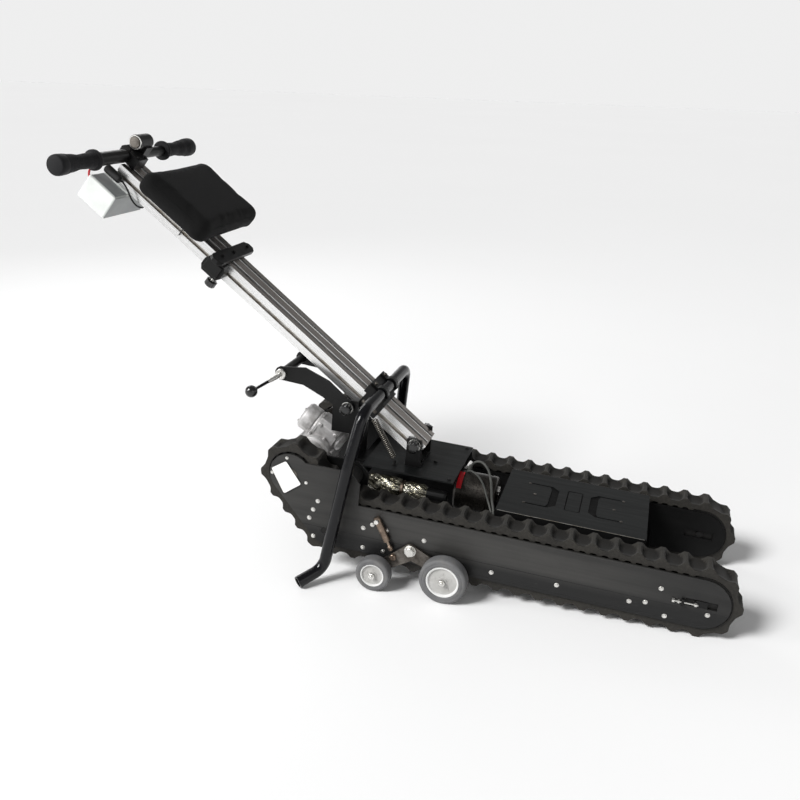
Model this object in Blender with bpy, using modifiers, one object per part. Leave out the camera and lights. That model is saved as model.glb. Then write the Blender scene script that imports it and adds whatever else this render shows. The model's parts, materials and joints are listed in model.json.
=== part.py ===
"""Powered tracked stair climber with a folding aluminium mast.

Frame of the chassis: +X to the front, +Y to the left side, +Z up, metres. Everything hangs on the
empty chassis_frame, which tilts the tracks nose-down until wheels, feet and front lugs share z = 0.
Mast parts use the mast's own frame: X up the mast, Y to the right side, Z out of its front face.
"""
import math

import bmesh
import bpy
from mathutils import Vector

# Track layout, in the chassis frame
LUG_PITCH = 0.050
BELT_WIDTH = 0.058
BELT_BASE = 0.009
LUG_HEIGHT = 0.0135
BELT_MID_Y = 0.1685
TRACK_Z = BELT_BASE + LUG_HEIGHT + 0.0645
IDLER_X, IDLER_R = 0.322, 0.0645
DRIVE_X, DRIVE_Z, DRIVE_R = -0.653, 0.191, 0.0575
BEND_X, BEND_R = -0.560, 0.040
BEND_Z = TRACK_Z - IDLER_R + BEND_R
GUIDE_X, GUIDE_R = -0.512, 0.022
GUIDE_Z = TRACK_Z + IDLER_R + BELT_BASE + LUG_HEIGHT + GUIDE_R
RUN_GAP = 0.0005

# Side plates
PLATE_T = 0.005
OUTER_PLATE_Y = 0.201
INNER_PLATE_Y = 0.136
PLATE_INSET = 0.004
HUMP_FRONT_X, HUMP_TOP_Z = -0.478, 0.229
STUB_R, HOLE_GAP = 0.008, 0.0005
SLOT_X, SLOT_LONG, SLOT_WIDE = 0.320, 0.070, 0.018

# Decks and cross tubes
CROSS_TUBE = 0.030
CROSS_TUBES = {"rear_cross_tube": (-0.470, 0.055), "middle_cross_tube": (-0.1335, 0.105),
               "front_cross_tube": (0.190, 0.055), "deck_cross_tube": (-0.525, 0.165)}
DECK_REAR_X, DECK_FRONT_X, DECK_TOP_Z, DECK_HALF_Y = -0.165, 0.185, 0.170, 0.122
BASE_REAR_X, BASE_FRONT_X, BASE_OPEN_Y, BASE_TOP_Z = -0.508, -0.2765, -0.100, 0.205

# Drive
AXLE_R = 0.010
WORM_TILT = math.radians(28.0)

# Mast
HINGE = Vector((-0.392, 0.0, 0.261))
MAST_ANGLE = math.radians(35.1)
MAST_HALF_Y, MAST_TOP, MAST_BOTTOM = 0.044, 0.016, -0.028
MAST_START, MAST_END = -0.022, 0.992
BAR_U, BAR_N, BAR_R, SLEEVE_R = 1.004, 0.030, 0.0125, 0.0160
LEG_U, LEG_N, LEG_R = 0.146, 0.037, 0.0145

# Cradle, lever arm
CRADLE_PIVOT = Vector((-0.5646, 0.0, 0.3345))
ARM_END = Vector((-0.7406, 0.0, 0.3925))

# Rocker wheels
ROCKER_PIVOT = Vector((-0.3393, 0.0, 0.0641))
LARGE_WHEEL_R, SMALL_WHEEL_R = 0.057, 0.042
LARGE_WHEEL_X, SMALL_WHEEL_X = -0.2476, -0.4164
WHEEL_Y, WHEEL_HALF = 0.2380, 0.0165
STRUT_TOP = Vector((-0.4252, 0.0, 0.1256))
STRUT_END = Vector((-0.3851, 0.0, 0.0542))

# Ground line under the tilted tracks
GROUND_SLOPE = 0.057
GROUND_X = 0.322
ORIGIN_X = -0.4169

SIDES = {"right": -1.0, "left": 1.0}
ROUND = 20


def ground_z(x):
    """Height of the floor under the tilted chassis at x, in the chassis frame."""
    return GROUND_SLOPE * (x - GROUND_X)


def on_ground(x, radius):
    """Height of the centre of a round thing that touches the floor."""
    return ground_z(x) + radius * math.sqrt(1.0 + GROUND_SLOPE ** 2)


MATERIALS = {
    "black_paint": ((0.018, 0.018, 0.020), 0.42, 0.2),
    "deck_paint": ((0.030, 0.031, 0.034), 0.55, 0.1),
    "belt_rubber": ((0.025, 0.024, 0.023), 0.80, 0.0),
    "aluminium": ((0.78, 0.78, 0.77), 0.30, 0.9),
    "cast_aluminium": ((0.62, 0.62, 0.61), 0.48, 0.85),
    "zinc_steel": ((0.55, 0.54, 0.52), 0.35, 0.95),
    "tyre_rubber": ((0.19, 0.19, 0.195), 0.70, 0.0),
    "motor_black": ((0.015, 0.015, 0.016), 0.30, 0.4),
    "wrap_film": ((0.60, 0.58, 0.52), 0.18, 0.3),
    "black_plastic": ((0.020, 0.020, 0.021), 0.50, 0.0),
    "grip_foam": ((0.028, 0.027, 0.027), 0.85, 0.0),
    "pad_fabric": ((0.022, 0.022, 0.023), 0.90, 0.0),
    "case_grey": ((0.72, 0.73, 0.71), 0.45, 0.0),
    "cable_black": ((0.012, 0.012, 0.012), 0.60, 0.0),
}


def clear_scene():
    """Empty the file and make the two collections."""
    for obj in list(bpy.data.objects):
        bpy.data.objects.remove(obj, do_unlink=True)
    made = {}
    for name in ("tracked_stair_climber", "cutters"):
        made[name] = bpy.data.collections.new(name)
        bpy.context.scene.collection.children.link(made[name])
    return made


COLLECTIONS = clear_scene()


def paint(name):
    """Give back the named Principled material, made once."""
    found = bpy.data.materials.get(name)
    if found:
        return found
    colour, roughness, metallic = MATERIALS[name]
    mat = bpy.data.materials.new(name)
    mat.use_nodes = True
    shader = mat.node_tree.nodes["Principled BSDF"]
    shader.inputs["Base Color"].default_value = (*colour, 1.0)
    shader.inputs["Roughness"].default_value = roughness
    shader.inputs["Metallic"].default_value = metallic
    mat.diffuse_color = (*colour, 1.0)
    return mat


def empty(name, parent=None, location=(0.0, 0.0, 0.0)):
    """Add an empty that carries a group of parts."""
    obj = bpy.data.objects.new(name, None)
    obj.empty_display_size = 0.05
    COLLECTIONS["tracked_stair_climber"].objects.link(obj)
    obj.parent = parent
    obj.location = location
    return obj


def settle(obj, slot, parent, location, turn=None):
    """Link a new part, paint it and put it in its parent's frame."""
    COLLECTIONS["tracked_stair_climber"].objects.link(obj)
    obj.data.materials.append(paint(slot))
    obj.parent = parent
    obj.location = location
    if turn is not None:
        obj.rotation_euler = turn
    return obj


def along(direction):
    """Euler turn that takes +Z to a direction."""
    return Vector(direction).to_track_quat("Z", "Y").to_euler()


def make_cutter(obj):
    """Hide an object that only shapes another one."""
    COLLECTIONS["tracked_stair_climber"].objects.unlink(obj)
    COLLECTIONS["cutters"].objects.link(obj)
    obj.hide_render = True
    obj.display_type = "WIRE"
    return obj


def combine(obj, tools, operation):
    """Boolean a list of tool objects with a part."""
    for tool in tools:
        mod = obj.modifiers.new(tool.name, "BOOLEAN")
        mod.operation = operation
        mod.solver = "EXACT"
        mod.object = make_cutter(tool)
    return obj


def box(name, low, high, slot, parent, bevel=0.0, segments=1):
    """A box between two corners, with optional rounded edges."""
    low, high = Vector(low), Vector(high)
    bm = bmesh.new()
    bmesh.ops.create_cube(bm, size=1.0)
    bmesh.ops.scale(bm, vec=high - low, verts=bm.verts)
    mesh = bpy.data.meshes.new(name)
    bm.to_mesh(mesh)
    bm.free()
    obj = settle(bpy.data.objects.new(name, mesh), slot, parent, (low + high) / 2)
    if bevel:
        mod = obj.modifiers.new("bevel", "BEVEL")
        mod.width = bevel
        mod.segments = segments
    return obj


def rod(name, start, end, radius, slot, parent, sides=ROUND):
    """A plain cylinder between two points."""
    start, end = Vector(start), Vector(end)
    bm = bmesh.new()
    bmesh.ops.create_cone(bm, cap_ends=True, segments=sides, radius1=radius, radius2=radius,
                          depth=(end - start).length)
    mesh = bpy.data.meshes.new(name)
    bm.to_mesh(mesh)
    bm.free()
    mesh.shade_smooth()
    mesh.set_sharp_from_angle(angle=math.radians(40))
    return settle(bpy.data.objects.new(name, mesh), slot, parent, (start + end) / 2,
                  along(end - start))


def turned(name, profile, slot, parent, location, direction, steps=ROUND):
    """A turned part: (radius, height) points, down the outer side first, about +Z."""
    mesh = bpy.data.meshes.new(name)
    closed = profile[0][0] > 0 and profile[-1][0] > 0
    edges = [(i, i + 1) for i in range(len(profile) - 1)]
    if closed:
        edges.append((len(profile) - 1, 0))
    mesh.from_pydata([(r, 0.0, z) for r, z in profile], edges, [])
    obj = settle(bpy.data.objects.new(name, mesh), slot, parent, location, along(direction))
    mod = obj.modifiers.new("screw", "SCREW")
    mod.steps = steps
    mod.render_steps = steps
    mod.use_merge_vertices = True
    mod.merge_threshold = 0.00001
    mod.use_smooth_shade = False
    return obj


def flat(name, loops, thickness, slot, parent, location, turn):
    """A flat plate from 2D outlines; later loops are holes."""
    curve = bpy.data.curves.new(name, "CURVE")
    curve.dimensions = "2D"
    curve.fill_mode = "BOTH"
    curve.extrude = thickness / 2
    for loop in loops:
        spline = curve.splines.new("POLY")
        spline.points.add(len(loop) - 1)
        for point, (x, y) in zip(spline.points, loop):
            point.co = (x, y, 0.0, 1.0)
        spline.use_cyclic_u = True
    return settle(bpy.data.objects.new(name, curve), slot, parent, location, turn)


def to_mesh(obj):
    """Replace a curve part by the closed mesh of it, so that it can be cut or joined."""
    bpy.context.view_layer.update()
    seen = obj.evaluated_get(bpy.context.evaluated_depsgraph_get())
    mesh = bpy.data.meshes.new_from_object(seen)
    bm = bmesh.new()
    bm.from_mesh(mesh)
    bmesh.ops.remove_doubles(bm, verts=bm.verts, dist=0.00001)
    bmesh.ops.recalc_face_normals(bm, faces=bm.faces)
    bm.to_mesh(mesh)
    bm.free()
    name, parent = obj.name, obj.parent
    place, turn = obj.location.copy(), obj.rotation_euler.copy()
    bpy.data.objects.remove(obj, do_unlink=True)
    fresh = bpy.data.objects.new(name, mesh)
    COLLECTIONS["tracked_stair_climber"].objects.link(fresh)
    fresh.parent = parent
    fresh.location = place
    fresh.rotation_euler = turn
    return fresh


def pipe(name, points, radius, slot, parent, resolution=3, location=(0.0, 0.0, 0.0)):
    """A round tube along a smooth list of points."""
    curve = bpy.data.curves.new(name, "CURVE")
    curve.dimensions = "3D"
    curve.bevel_depth = radius
    curve.bevel_resolution = resolution
    curve.use_fill_caps = True
    spline = curve.splines.new("POLY")
    spline.points.add(len(points) - 1)
    for point, place in zip(spline.points, points):
        point.co = (*place, 1.0)
    return settle(bpy.data.objects.new(name, curve), slot, parent, location)


def rounded_route(corners, radius, steps=6):
    """Points along a bent tube: straight runs joined by arcs at its corners."""
    corners = [Vector(c) for c in corners]
    points = [corners[0]]
    for before, corner, after in zip(corners, corners[1:], corners[2:]):
        enter = (before - corner).normalized()
        leave = (after - corner).normalized()
        half = enter.angle(leave) / 2
        reach = radius / math.tan(half)
        centre = corner + (enter + leave).normalized() * (radius / math.sin(half))
        start = corner + enter * reach - centre
        sweep = math.pi - 2 * half
        normal = start.cross(corner + leave * reach - centre).normalized()
        side = normal.cross(start)
        for i in range(steps + 1):
            turn = sweep * i / steps
            points.append(centre + start * math.cos(turn) + side * math.sin(turn))
    points.append(corners[-1])
    return points


def circle(x, y, radius, count=16):
    """Points round a hole."""
    return [(x + radius * math.cos(math.tau * i / count), y + radius * math.sin(math.tau * i / count))
            for i in range(count)]


def arc(x, y, radius, first, last, count):
    """Points along an arc, angles in degrees."""
    turns = [math.radians(first + (last - first) * i / (count - 1)) for i in range(count)]
    return [(x + radius * math.cos(t), y + radius * math.sin(t)) for t in turns]


def rectangle(x, y, width, height):
    """Corners of an upright rectangle."""
    return [(x - width / 2, y - height / 2), (x + width / 2, y - height / 2),
            (x + width / 2, y + height / 2), (x - width / 2, y + height / 2)]


# The belt runs round four circles; the guide roller presses from outside, so its radius is negative.
GUIDE_TURN = -(GUIDE_R + BELT_BASE + LUG_HEIGHT + RUN_GAP)
WHEEL_CIRCLES = [((IDLER_X, TRACK_Z), IDLER_R), ((GUIDE_X, GUIDE_Z + RUN_GAP), GUIDE_TURN),
                 ((DRIVE_X, DRIVE_Z), DRIVE_R), ((BEND_X, BEND_Z), BEND_R)]


def tangent_angle(first, second):
    """Direction of the belt's straight run between two circles."""
    (c1, r1), (c2, r2) = first, second
    gap = Vector(c2) - Vector(c1)
    return math.atan2(gap.y, gap.x) - math.asin((r2 - r1) / gap.length)


def belt_track():
    """The belt's inner surface as pieces: (length, point and outward normal by distance)."""
    count = len(WHEEL_CIRCLES)
    angles = [tangent_angle(WHEEL_CIRCLES[i], WHEEL_CIRCLES[(i + 1) % count]) for i in range(count)]
    pieces = []
    for i, (centre, radius) in enumerate(WHEEL_CIRCLES):
        turn = angles[i] - angles[i - 1]
        turn = (turn + math.pi) % math.tau - math.pi
        if radius > 0 and turn < 0:
            turn += math.tau
        pieces.append((abs(radius * turn), Vector(centre), radius, angles[i - 1], turn))
        end, far = Vector(centre), Vector(WHEEL_CIRCLES[(i + 1) % count][0])
        outward = Vector((math.sin(angles[i]), -math.cos(angles[i])))
        start = end + outward * radius
        stop = far + outward * WHEEL_CIRCLES[(i + 1) % count][1]
        pieces.append(((stop - start).length, start, 0.0, angles[i], 0.0))
    return pieces


def on_belt(pieces, distance, height):
    """The point at a distance round the belt and a height over its inner surface."""
    distance %= sum(piece[0] for piece in pieces)
    for length, point, radius, angle, turn in pieces:
        if distance <= length:
            break
        distance -= length
    if radius:
        angle += turn * distance / length
        outward = Vector((math.sin(angle), -math.cos(angle)))
        return point + outward * (radius + height)
    heading = Vector((math.cos(angle), math.sin(angle)))
    return point + heading * distance + Vector((heading.y, -heading.x)) * height


ARC_STEP = 0.009
LUG_SHAPE = ((-0.15, 1.0), (0.15, 1.0), (0.32, 0.15), (0.68, 0.15))


def belt_loops():
    """Outer lugged outline and inner outline of the belt."""
    pieces = belt_track()
    total = sum(piece[0] for piece in pieces)
    lugs = round(total / LUG_PITCH)
    pitch = total / lugs
    outer = [on_belt(pieces, (k + f) * pitch, BELT_BASE + LUG_HEIGHT * h)
             for k in range(lugs) for f, h in LUG_SHAPE]
    inner, start = [], 0.0
    for length, _, radius, _, _ in pieces:
        steps = math.ceil(length / ARC_STEP) if radius else 0
        inner += [on_belt(pieces, start + length * i / steps, 0.0) for i in range(steps)]
        inner.append(on_belt(pieces, start + length - 0.00001, 0.0))
        start += length
    return [[tuple(p) for p in outer], [tuple(p) for p in inner]]


UPRIGHT = (math.pi / 2, 0.0, 0.0)
CROSSWISE = (math.pi / 2, 0.0, math.pi / 2)


def side_outline():
    """Outline of a side plate: inside the belt, with a hump over the guide roller."""
    r_front, r_drive, r_bend = (r - PLATE_INSET for r in (IDLER_R, DRIVE_R, BEND_R))
    slope = math.degrees(tangent_angle(WHEEL_CIRCLES[2], WHEEL_CIRCLES[3])) % 360
    outline = arc(IDLER_X, TRACK_Z, r_front, -90, 90, 15)
    outline += [(HUMP_FRONT_X, TRACK_Z + r_front), (HUMP_FRONT_X, HUMP_TOP_Z - 0.026),
                (HUMP_FRONT_X - 0.026, HUMP_TOP_Z)]
    outline += arc(DRIVE_X, DRIVE_Z, r_drive, 45, slope - 90, 15)
    outline += arc(BEND_X, BEND_Z, r_bend, slope - 90, 270, 5)
    return outline


def side_plates(frame):
    """Outer and inner plate of both tracks, with their shaft holes."""
    shafts = [circle(DRIVE_X, DRIVE_Z, AXLE_R + HOLE_GAP), circle(BEND_X, BEND_Z, STUB_R + HOLE_GAP),
              circle(GUIDE_X, GUIDE_Z + RUN_GAP, STUB_R + HOLE_GAP),
              rectangle(SLOT_X, TRACK_Z, SLOT_LONG, SLOT_WIDE)]
    for side, sign in SIDES.items():
        outer = to_mesh(flat(f"{side}_outer_plate", [side_outline(), *shafts], PLATE_T,
                             "black_paint", frame, (0.0, sign * OUTER_PLATE_Y, 0.0), UPRIGHT))
        combine(outer, [pivot_bolt(side, frame)], "UNION")
        flat(f"{side}_inner_plate", [side_outline(), *shafts], PLATE_T, "black_paint", frame,
             (0.0, sign * INNER_PLATE_Y, 0.0), UPRIGHT)


def belts(frame):
    """The lugged rubber belts."""
    loops = belt_loops()
    for side, sign in SIDES.items():
        flat(f"{side}_track_belt", loops, BELT_WIDTH, "belt_rubber", frame,
             (0.0, sign * BELT_MID_Y, 0.0), UPRIGHT)


def drum(name, frame, x, z, radius, side):
    """A belt roller with a stub shaft at each end, running in the side plates."""
    half = BELT_WIDTH / 2 + 0.0005
    stub = half + PLATE_T
    profile = [(0.0, stub), (STUB_R, stub), (STUB_R, half), (radius, half), (radius, -half),
               (STUB_R, -half), (STUB_R, -stub), (0.0, -stub)]
    turned(name, profile, "zinc_steel", frame, (x, side * BELT_MID_Y, z), (0, 1, 0))


def belt_rollers(frame):
    """Front idlers, bend rollers and the guide rollers above the belt."""
    for side, sign in SIDES.items():
        drum(f"{side}_front_idler", frame, IDLER_X, TRACK_Z, IDLER_R - RUN_GAP, sign)
        drum(f"{side}_bend_roller", frame, BEND_X, BEND_Z, BEND_R - RUN_GAP, sign)
        drum(f"{side}_guide_roller", frame, GUIDE_X, GUIDE_Z + RUN_GAP, GUIDE_R, sign)


def drive_train(frame):
    """Axle with its two toothed drive sprockets."""
    teeth = 16
    tip, root = DRIVE_R - RUN_GAP, DRIVE_R - 0.0055
    step = math.tau / teeth
    outline = []
    for k in range(teeth):
        for turn, radius in ((-0.30, root), (-0.18, tip), (0.18, tip), (0.30, root)):
            angle = (k + turn) * step
            outline.append((radius * math.cos(angle), radius * math.sin(angle)))
    bore = circle(0.0, 0.0, AXLE_R + 0.0003)
    for side, sign in SIDES.items():
        flat(f"{side}_drive_sprocket", [outline, bore], BELT_WIDTH - 0.004, "zinc_steel", frame,
             (DRIVE_X, sign * BELT_MID_Y, DRIVE_Z), UPRIGHT)
    reach = OUTER_PLATE_Y + PLATE_T / 2
    rod("drive_axle", (DRIVE_X, -reach, DRIVE_Z), (DRIVE_X, reach, DRIVE_Z), AXLE_R, "zinc_steel",
        frame)


def gearbox(frame):
    """Cast worm gearbox on the axle, and the motor on its left face."""
    worm = Vector((math.cos(WORM_TILT), 0.0, -math.sin(WORM_TILT)))
    middle = Vector((-0.640, -0.020, 0.247))
    body = rod("drive_gearbox", (DRIVE_X, -0.078, DRIVE_Z), (DRIVE_X, 0.034, DRIVE_Z), 0.050,
               "cast_aluminium", frame)
    housing = rod("worm_housing", middle - worm * 0.062, middle + worm * 0.066, 0.036,
                  "cast_aluminium", frame, 24)
    flange = rod("output_flange", (DRIVE_X, -0.092, DRIVE_Z), (DRIVE_X, -0.077, DRIVE_Z), 0.040,
                 "cast_aluminium", frame)
    combine(body, [housing, flange], "UNION")
    bore = rod("axle_bore", (DRIVE_X, -0.11, DRIVE_Z), (DRIVE_X, 0.11, DRIVE_Z),
               AXLE_R + HOLE_GAP, "cast_aluminium", frame, ROUND)
    combine(body, [bore], "DIFFERENCE")
    top = Vector((-0.622, 0.0, 0.250))
    turned("drive_motor", [(0.0, 0.052), (0.026, 0.052), (0.037, 0.044), (0.037, -0.038),
                           (0.0, -0.038)], "motor_black", frame, top + Vector((0, 0.0735, 0)),
           (0, 1, 0), 24)


def cross_tubes(frame):
    """Square tubes between the inner plates."""
    half, reach = CROSS_TUBE / 2, INNER_PLATE_Y - PLATE_T / 2 - 0.0003
    for name, (x, z) in CROSS_TUBES.items():
        box(name, (x - half, -reach, z - half), (x + half, reach, z + half), "black_paint", frame,
            0.002)


def decks(frame):
    """Folded front deck, and the base plate that carries the mast."""
    foot = INNER_PLATE_Y - PLATE_T / 2 - 0.0003
    top, under, low, sheet = DECK_TOP_Z, DECK_TOP_Z - 0.004, 0.125, 0.004
    half = [(DECK_HALF_Y, top), (DECK_HALF_Y, low + sheet), (foot, low + sheet), (foot, low),
            (DECK_HALF_Y - sheet, low), (DECK_HALF_Y - sheet, under)]
    outline = half + [(-y, z) for y, z in reversed(half)]
    flat("front_deck", [outline], DECK_FRONT_X - DECK_REAR_X, "deck_paint", frame,
         ((DECK_FRONT_X + DECK_REAR_X) / 2, 0.0, 0.0), CROSSWISE)
    top, under = BASE_TOP_Z, BASE_TOP_Z - 0.0035
    base = [(BASE_OPEN_Y, top), (BASE_OPEN_Y, under), (foot - sheet, under), (foot - sheet, 0.120),
            (foot, 0.120), (foot, top)]
    flat("mast_base_plate", [base], BASE_FRONT_X - BASE_REAR_X, "deck_paint", frame,
         ((BASE_FRONT_X + BASE_REAR_X) / 2, 0.0, 0.0), CROSSWISE)


def motors_inside(frame):
    """The motor between the plates, and the wrapped actuator beside it."""
    turned("tilt_motor", [(0.0, 0.054), (0.042, 0.054), (0.050, 0.047), (0.050, -0.046),
                          (0.044, -0.053), (0.0, -0.053)], "motor_black", frame,
           (-0.2325, 0.0, 0.144), (1, 0, 0), 24)
    turned("actuator_tube", [(0.0, 0.078), (0.024, 0.078), (0.027, 0.074), (0.027, -0.070),
                             (0.022, -0.076), (0.0, -0.076)], "wrap_film", frame,
           (-0.418, -0.086, 0.156), (1, 0, 0), 24)
    turned("actuator_rod", [(0.0, 0.026), (0.014, 0.026), (0.015, 0.020), (0.015, -0.0225),
                            (0.0, -0.0225)], "zinc_steel", frame, (-0.317, -0.086, 0.156),
           (1, 0, 0), 20)


def wheel(side, size, pivot, x, radius, parent):
    """A rubber-tyred wheel with a dished hub, on the rocker's axle stub."""
    sign = SIDES[side]
    rim, half, dish = radius * 0.78, WHEEL_HALF, WHEEL_HALF - 0.003
    profile = [(0.0055, dish), (rim - 0.002, dish), (rim, half), (radius - 0.004, half),
               (radius, half - 0.005), (radius, -half + 0.005), (radius - 0.004, -half),
               (rim, -half), (rim - 0.002, -dish), (0.0055, -dish)]
    place = Vector((x, sign * WHEEL_Y, on_ground(x, radius))) - pivot
    turned(f"{side}_{size}_wheel", profile, "tyre_rubber", parent, place, (0, sign, 0))


def rocker(side, pivot, parent):
    """The bell crank that carries two wheels, with its axle stubs."""
    sign = SIDES[side]
    large = Vector((LARGE_WHEEL_X, 0, on_ground(LARGE_WHEEL_X, LARGE_WHEEL_R))) - pivot
    small = Vector((SMALL_WHEEL_X, 0, on_ground(SMALL_WHEEL_X, SMALL_WHEEL_R))) - pivot
    large.y = small.y = 0.0
    outline = (arc(0.0, 0.0, 0.017, 120, 50, 5) + arc(large.x, large.z, 0.013, 55, -95, 8)
               + [(0.004, -0.026)] + arc(small.x, small.z, 0.012, -60, -235, 8))
    plate_y = sign * 0.2105
    body = to_mesh(flat(f"{side}_rocker_arm", [outline, circle(0.0, 0.0, 0.0063)], 0.006,
                        "zinc_steel", parent, (0.0, plate_y, 0.0), UPRIGHT))
    stubs = []
    for name, spot in (("large", large), ("small", small)):
        start = Vector((spot.x, sign * 0.2090, spot.z))
        end = Vector((spot.x, sign * (WHEEL_Y + WHEEL_HALF + 0.004), spot.z))
        stubs.append(rod(f"{side}_{name}_stub", start, end, 0.0050, "zinc_steel", parent, 16))
    combine(body, stubs, "UNION")


def pivot_bolt(side, frame):
    """The bolt that the rocker swings on, fixed in the outer plate."""
    head = [(0.0, 0.0220), (0.0095, 0.0220), (0.0105, 0.0205), (0.0105, 0.0130), (0.0058, 0.0130),
            (0.0058, -0.0010), (0.0, -0.0010)]
    return turned(f"{side}_pivot_bolt", head, "zinc_steel", frame,
                  (ROCKER_PIVOT.x, SIDES[side] * OUTER_PLATE_Y, ROCKER_PIVOT.z),
                  (0, SIDES[side], 0), 18)


def strut(side, frame):
    """The damper between side plate and rocker: a tube and its rod."""
    sign = SIDES[side]
    top, end = STRUT_TOP.copy(), STRUT_END.copy()
    top.y = end.y = sign * 0.2124
    way = (end - top).normalized()
    carrier = empty(f"{side}_strut_pivot", frame, top)
    tube = turned(f"{side}_strut_tube", [(0.0, 0.008), (0.007, 0.008), (0.0084, 0.004),
                                         (0.0084, -0.056), (0.0042, -0.056), (0.0042, -0.012),
                                         (0.0, -0.012)], "zinc_steel", carrier, (0, 0, 0), -way, 18)
    pin = rod(f"{side}_strut_pin", (0, -sign * 0.0083, 0), (0, sign * 0.006, 0), 0.0040,
              "zinc_steel", carrier, 14)
    combine(tube, [pin], "UNION")
    length = (end - top).length
    turned(f"{side}_strut_rod", [(0.0, -0.026), (0.0036, -0.026), (0.0036, -length + 0.013),
                                 (0.006, -length + 0.011), (0.006, -length + 0.001),
                                 (0.0, -length + 0.001)], "zinc_steel", carrier, (0, 0, 0), -way, 16)


def running_gear(frame):
    """Rockers, wheels and struts on both sides."""
    for side in SIDES:
        pivot = ROCKER_PIVOT.copy()
        carrier = empty(f"{side}_rocker_pivot", frame, pivot)
        rocker(side, pivot, carrier)
        wheel(side, "large", pivot, LARGE_WHEEL_X, LARGE_WHEEL_R, carrier)
        wheel(side, "small", pivot, SMALL_WHEEL_X, SMALL_WHEEL_R, carrier)
        strut(side, frame)


def hinge_bracket(frame):
    """U bracket that the mast turns in, and its pin with two knobs."""
    ear_in, ear_out, base = 0.0475, 0.0535, BASE_TOP_Z + 0.0003
    top = HINGE.z + 0.0155
    outline = [(-ear_out, top), (-ear_out, base), (ear_out, base), (ear_out, top),
               (ear_in, top), (ear_in, base + 0.006), (-ear_in, base + 0.006), (-ear_in, top)]
    bracket = to_mesh(flat("hinge_bracket", [outline], 0.038, "black_paint", frame,
                           (HINGE.x, 0.0, 0.0), CROSSWISE))
    bore = rod("hinge_bore", HINGE - Vector((0, 0.1, 0)), HINGE + Vector((0, 0.1, 0)), 0.0066,
               "black_paint", frame, 20)
    combine(bracket, [bore], "DIFFERENCE")
    tip, knob = 0.072, 0.0545
    profile = [(0.0, tip), (0.012, tip), (0.014, tip - 0.003), (0.014, knob), (0.0060, knob),
               (0.0060, -knob), (0.014, -knob), (0.014, -tip + 0.003), (0.012, -tip), (0.0, -tip)]
    turned("mast_hinge_pin", profile, "motor_black", frame, HINGE, (0, 1, 0), 20)


def cradle(frame):
    """Fork behind the mast: two cheeks on a post, and the bolt that the lever arm turns on."""
    cheek_in, cheek_out, skirt, low, high = 0.058, 0.063, 0.264, 0.292, 0.352
    outline = [(-cheek_out, high), (-cheek_out, skirt), (-cheek_in, skirt), (-cheek_in, low),
               (cheek_out, low), (cheek_out, high), (cheek_in, high), (cheek_in, low + 0.005),
               (-cheek_in, low + 0.005), (-cheek_in, high)]
    fork = to_mesh(flat("cradle_fork", [outline], 0.066, "black_paint", frame, (-0.572, 0.0, 0.0),
                        CROSSWISE))
    post = box("cradle_post", (-0.5450, -0.035, 0.1803), (-0.5390, 0.035, 0.294), "black_paint",
               frame)
    foot = box("cradle_foot", (-0.5450, -0.035, 0.1803), (-0.5100, 0.035, 0.1863), "black_paint",
               frame)
    combine(fork, [post, foot], "UNION")
    bore = rod("cradle_bore", CRADLE_PIVOT - Vector((0, 0.1, 0)), CRADLE_PIVOT + Vector((0, 0.1, 0)),
               0.0056, "black_paint", frame, 18)
    combine(fork, [bore], "DIFFERENCE")
    tip, knob = 0.092, 0.0725
    profile = [(0.0, tip), (0.011, tip), (0.013, tip - 0.003), (0.013, knob), (0.0050, knob),
               (0.0050, -knob), (0.013, -knob), (0.013, -tip + 0.003), (0.011, -tip), (0.0, -tip)]
    turned("cradle_bolt", profile, "motor_black", frame, CRADLE_PIVOT, (0, 1, 0), 20)


def lever_arm(frame):
    """Dog-leg arm behind the mast, two plates and a cross boss, with its ball lever."""
    carrier = empty("lever_arm_pivot", frame, CRADLE_PIVOT)
    end = ARM_END - CRADLE_PIVOT
    outline = ([(-0.052, 0.060), (-0.115, 0.0830)] + arc(end.x, end.z, 0.018, 80, 250, 7)
               + [(-0.118, 0.038), (-0.066, 0.016)] + arc(0.0, 0.0, 0.017, 235, 415, 8))
    loops = [outline, circle(0.0, 0.0, 0.0056)]
    near = to_mesh(flat("lever_arm", loops, 0.005, "black_paint", carrier, (0.0, -0.0685, 0.0),
                        UPRIGHT))
    far = to_mesh(flat("lever_arm_left", loops, 0.005, "black_paint", carrier, (0.0, 0.0685, 0.0),
                       UPRIGHT))
    boss, bore = (rod(name, end - reach, end + reach, radius, "black_paint", carrier, 20)
                  for name, reach, radius in (("lever_boss", Vector((0, 0.068, 0)), 0.011),
                                              ("lever_bore", Vector((0, 0.100, 0)), 0.0056)))
    combine(near, [far, boss], "UNION")
    combine(near, [bore], "DIFFERENCE")
    lever = empty("ball_lever_pivot", frame, ARM_END)
    ball = Vector((-0.036, -0.168, -0.022))
    shaft = pipe("lock_lever", [(0, 0.080, 0), (0, 0.0, 0), (0, -0.082, 0), (-0.006, -0.094, -0.004),
                                tuple(ball)], 0.0050, "zinc_steel", lever, 2)
    shaft = to_mesh(shaft)
    heading = (ball - Vector((-0.006, -0.094, -0.004))).normalized()
    grip = turned("lever_ball", [(0.0, 0.0150), (0.0075, 0.0130), (0.0130, 0.0075), (0.0150, 0.0),
                                 (0.0130, -0.0075), (0.0080, -0.0128), (0.0, -0.0150)],
                  "black_plastic", lever, ball, heading, 18)
    combine(shaft, [grip], "UNION")


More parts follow.
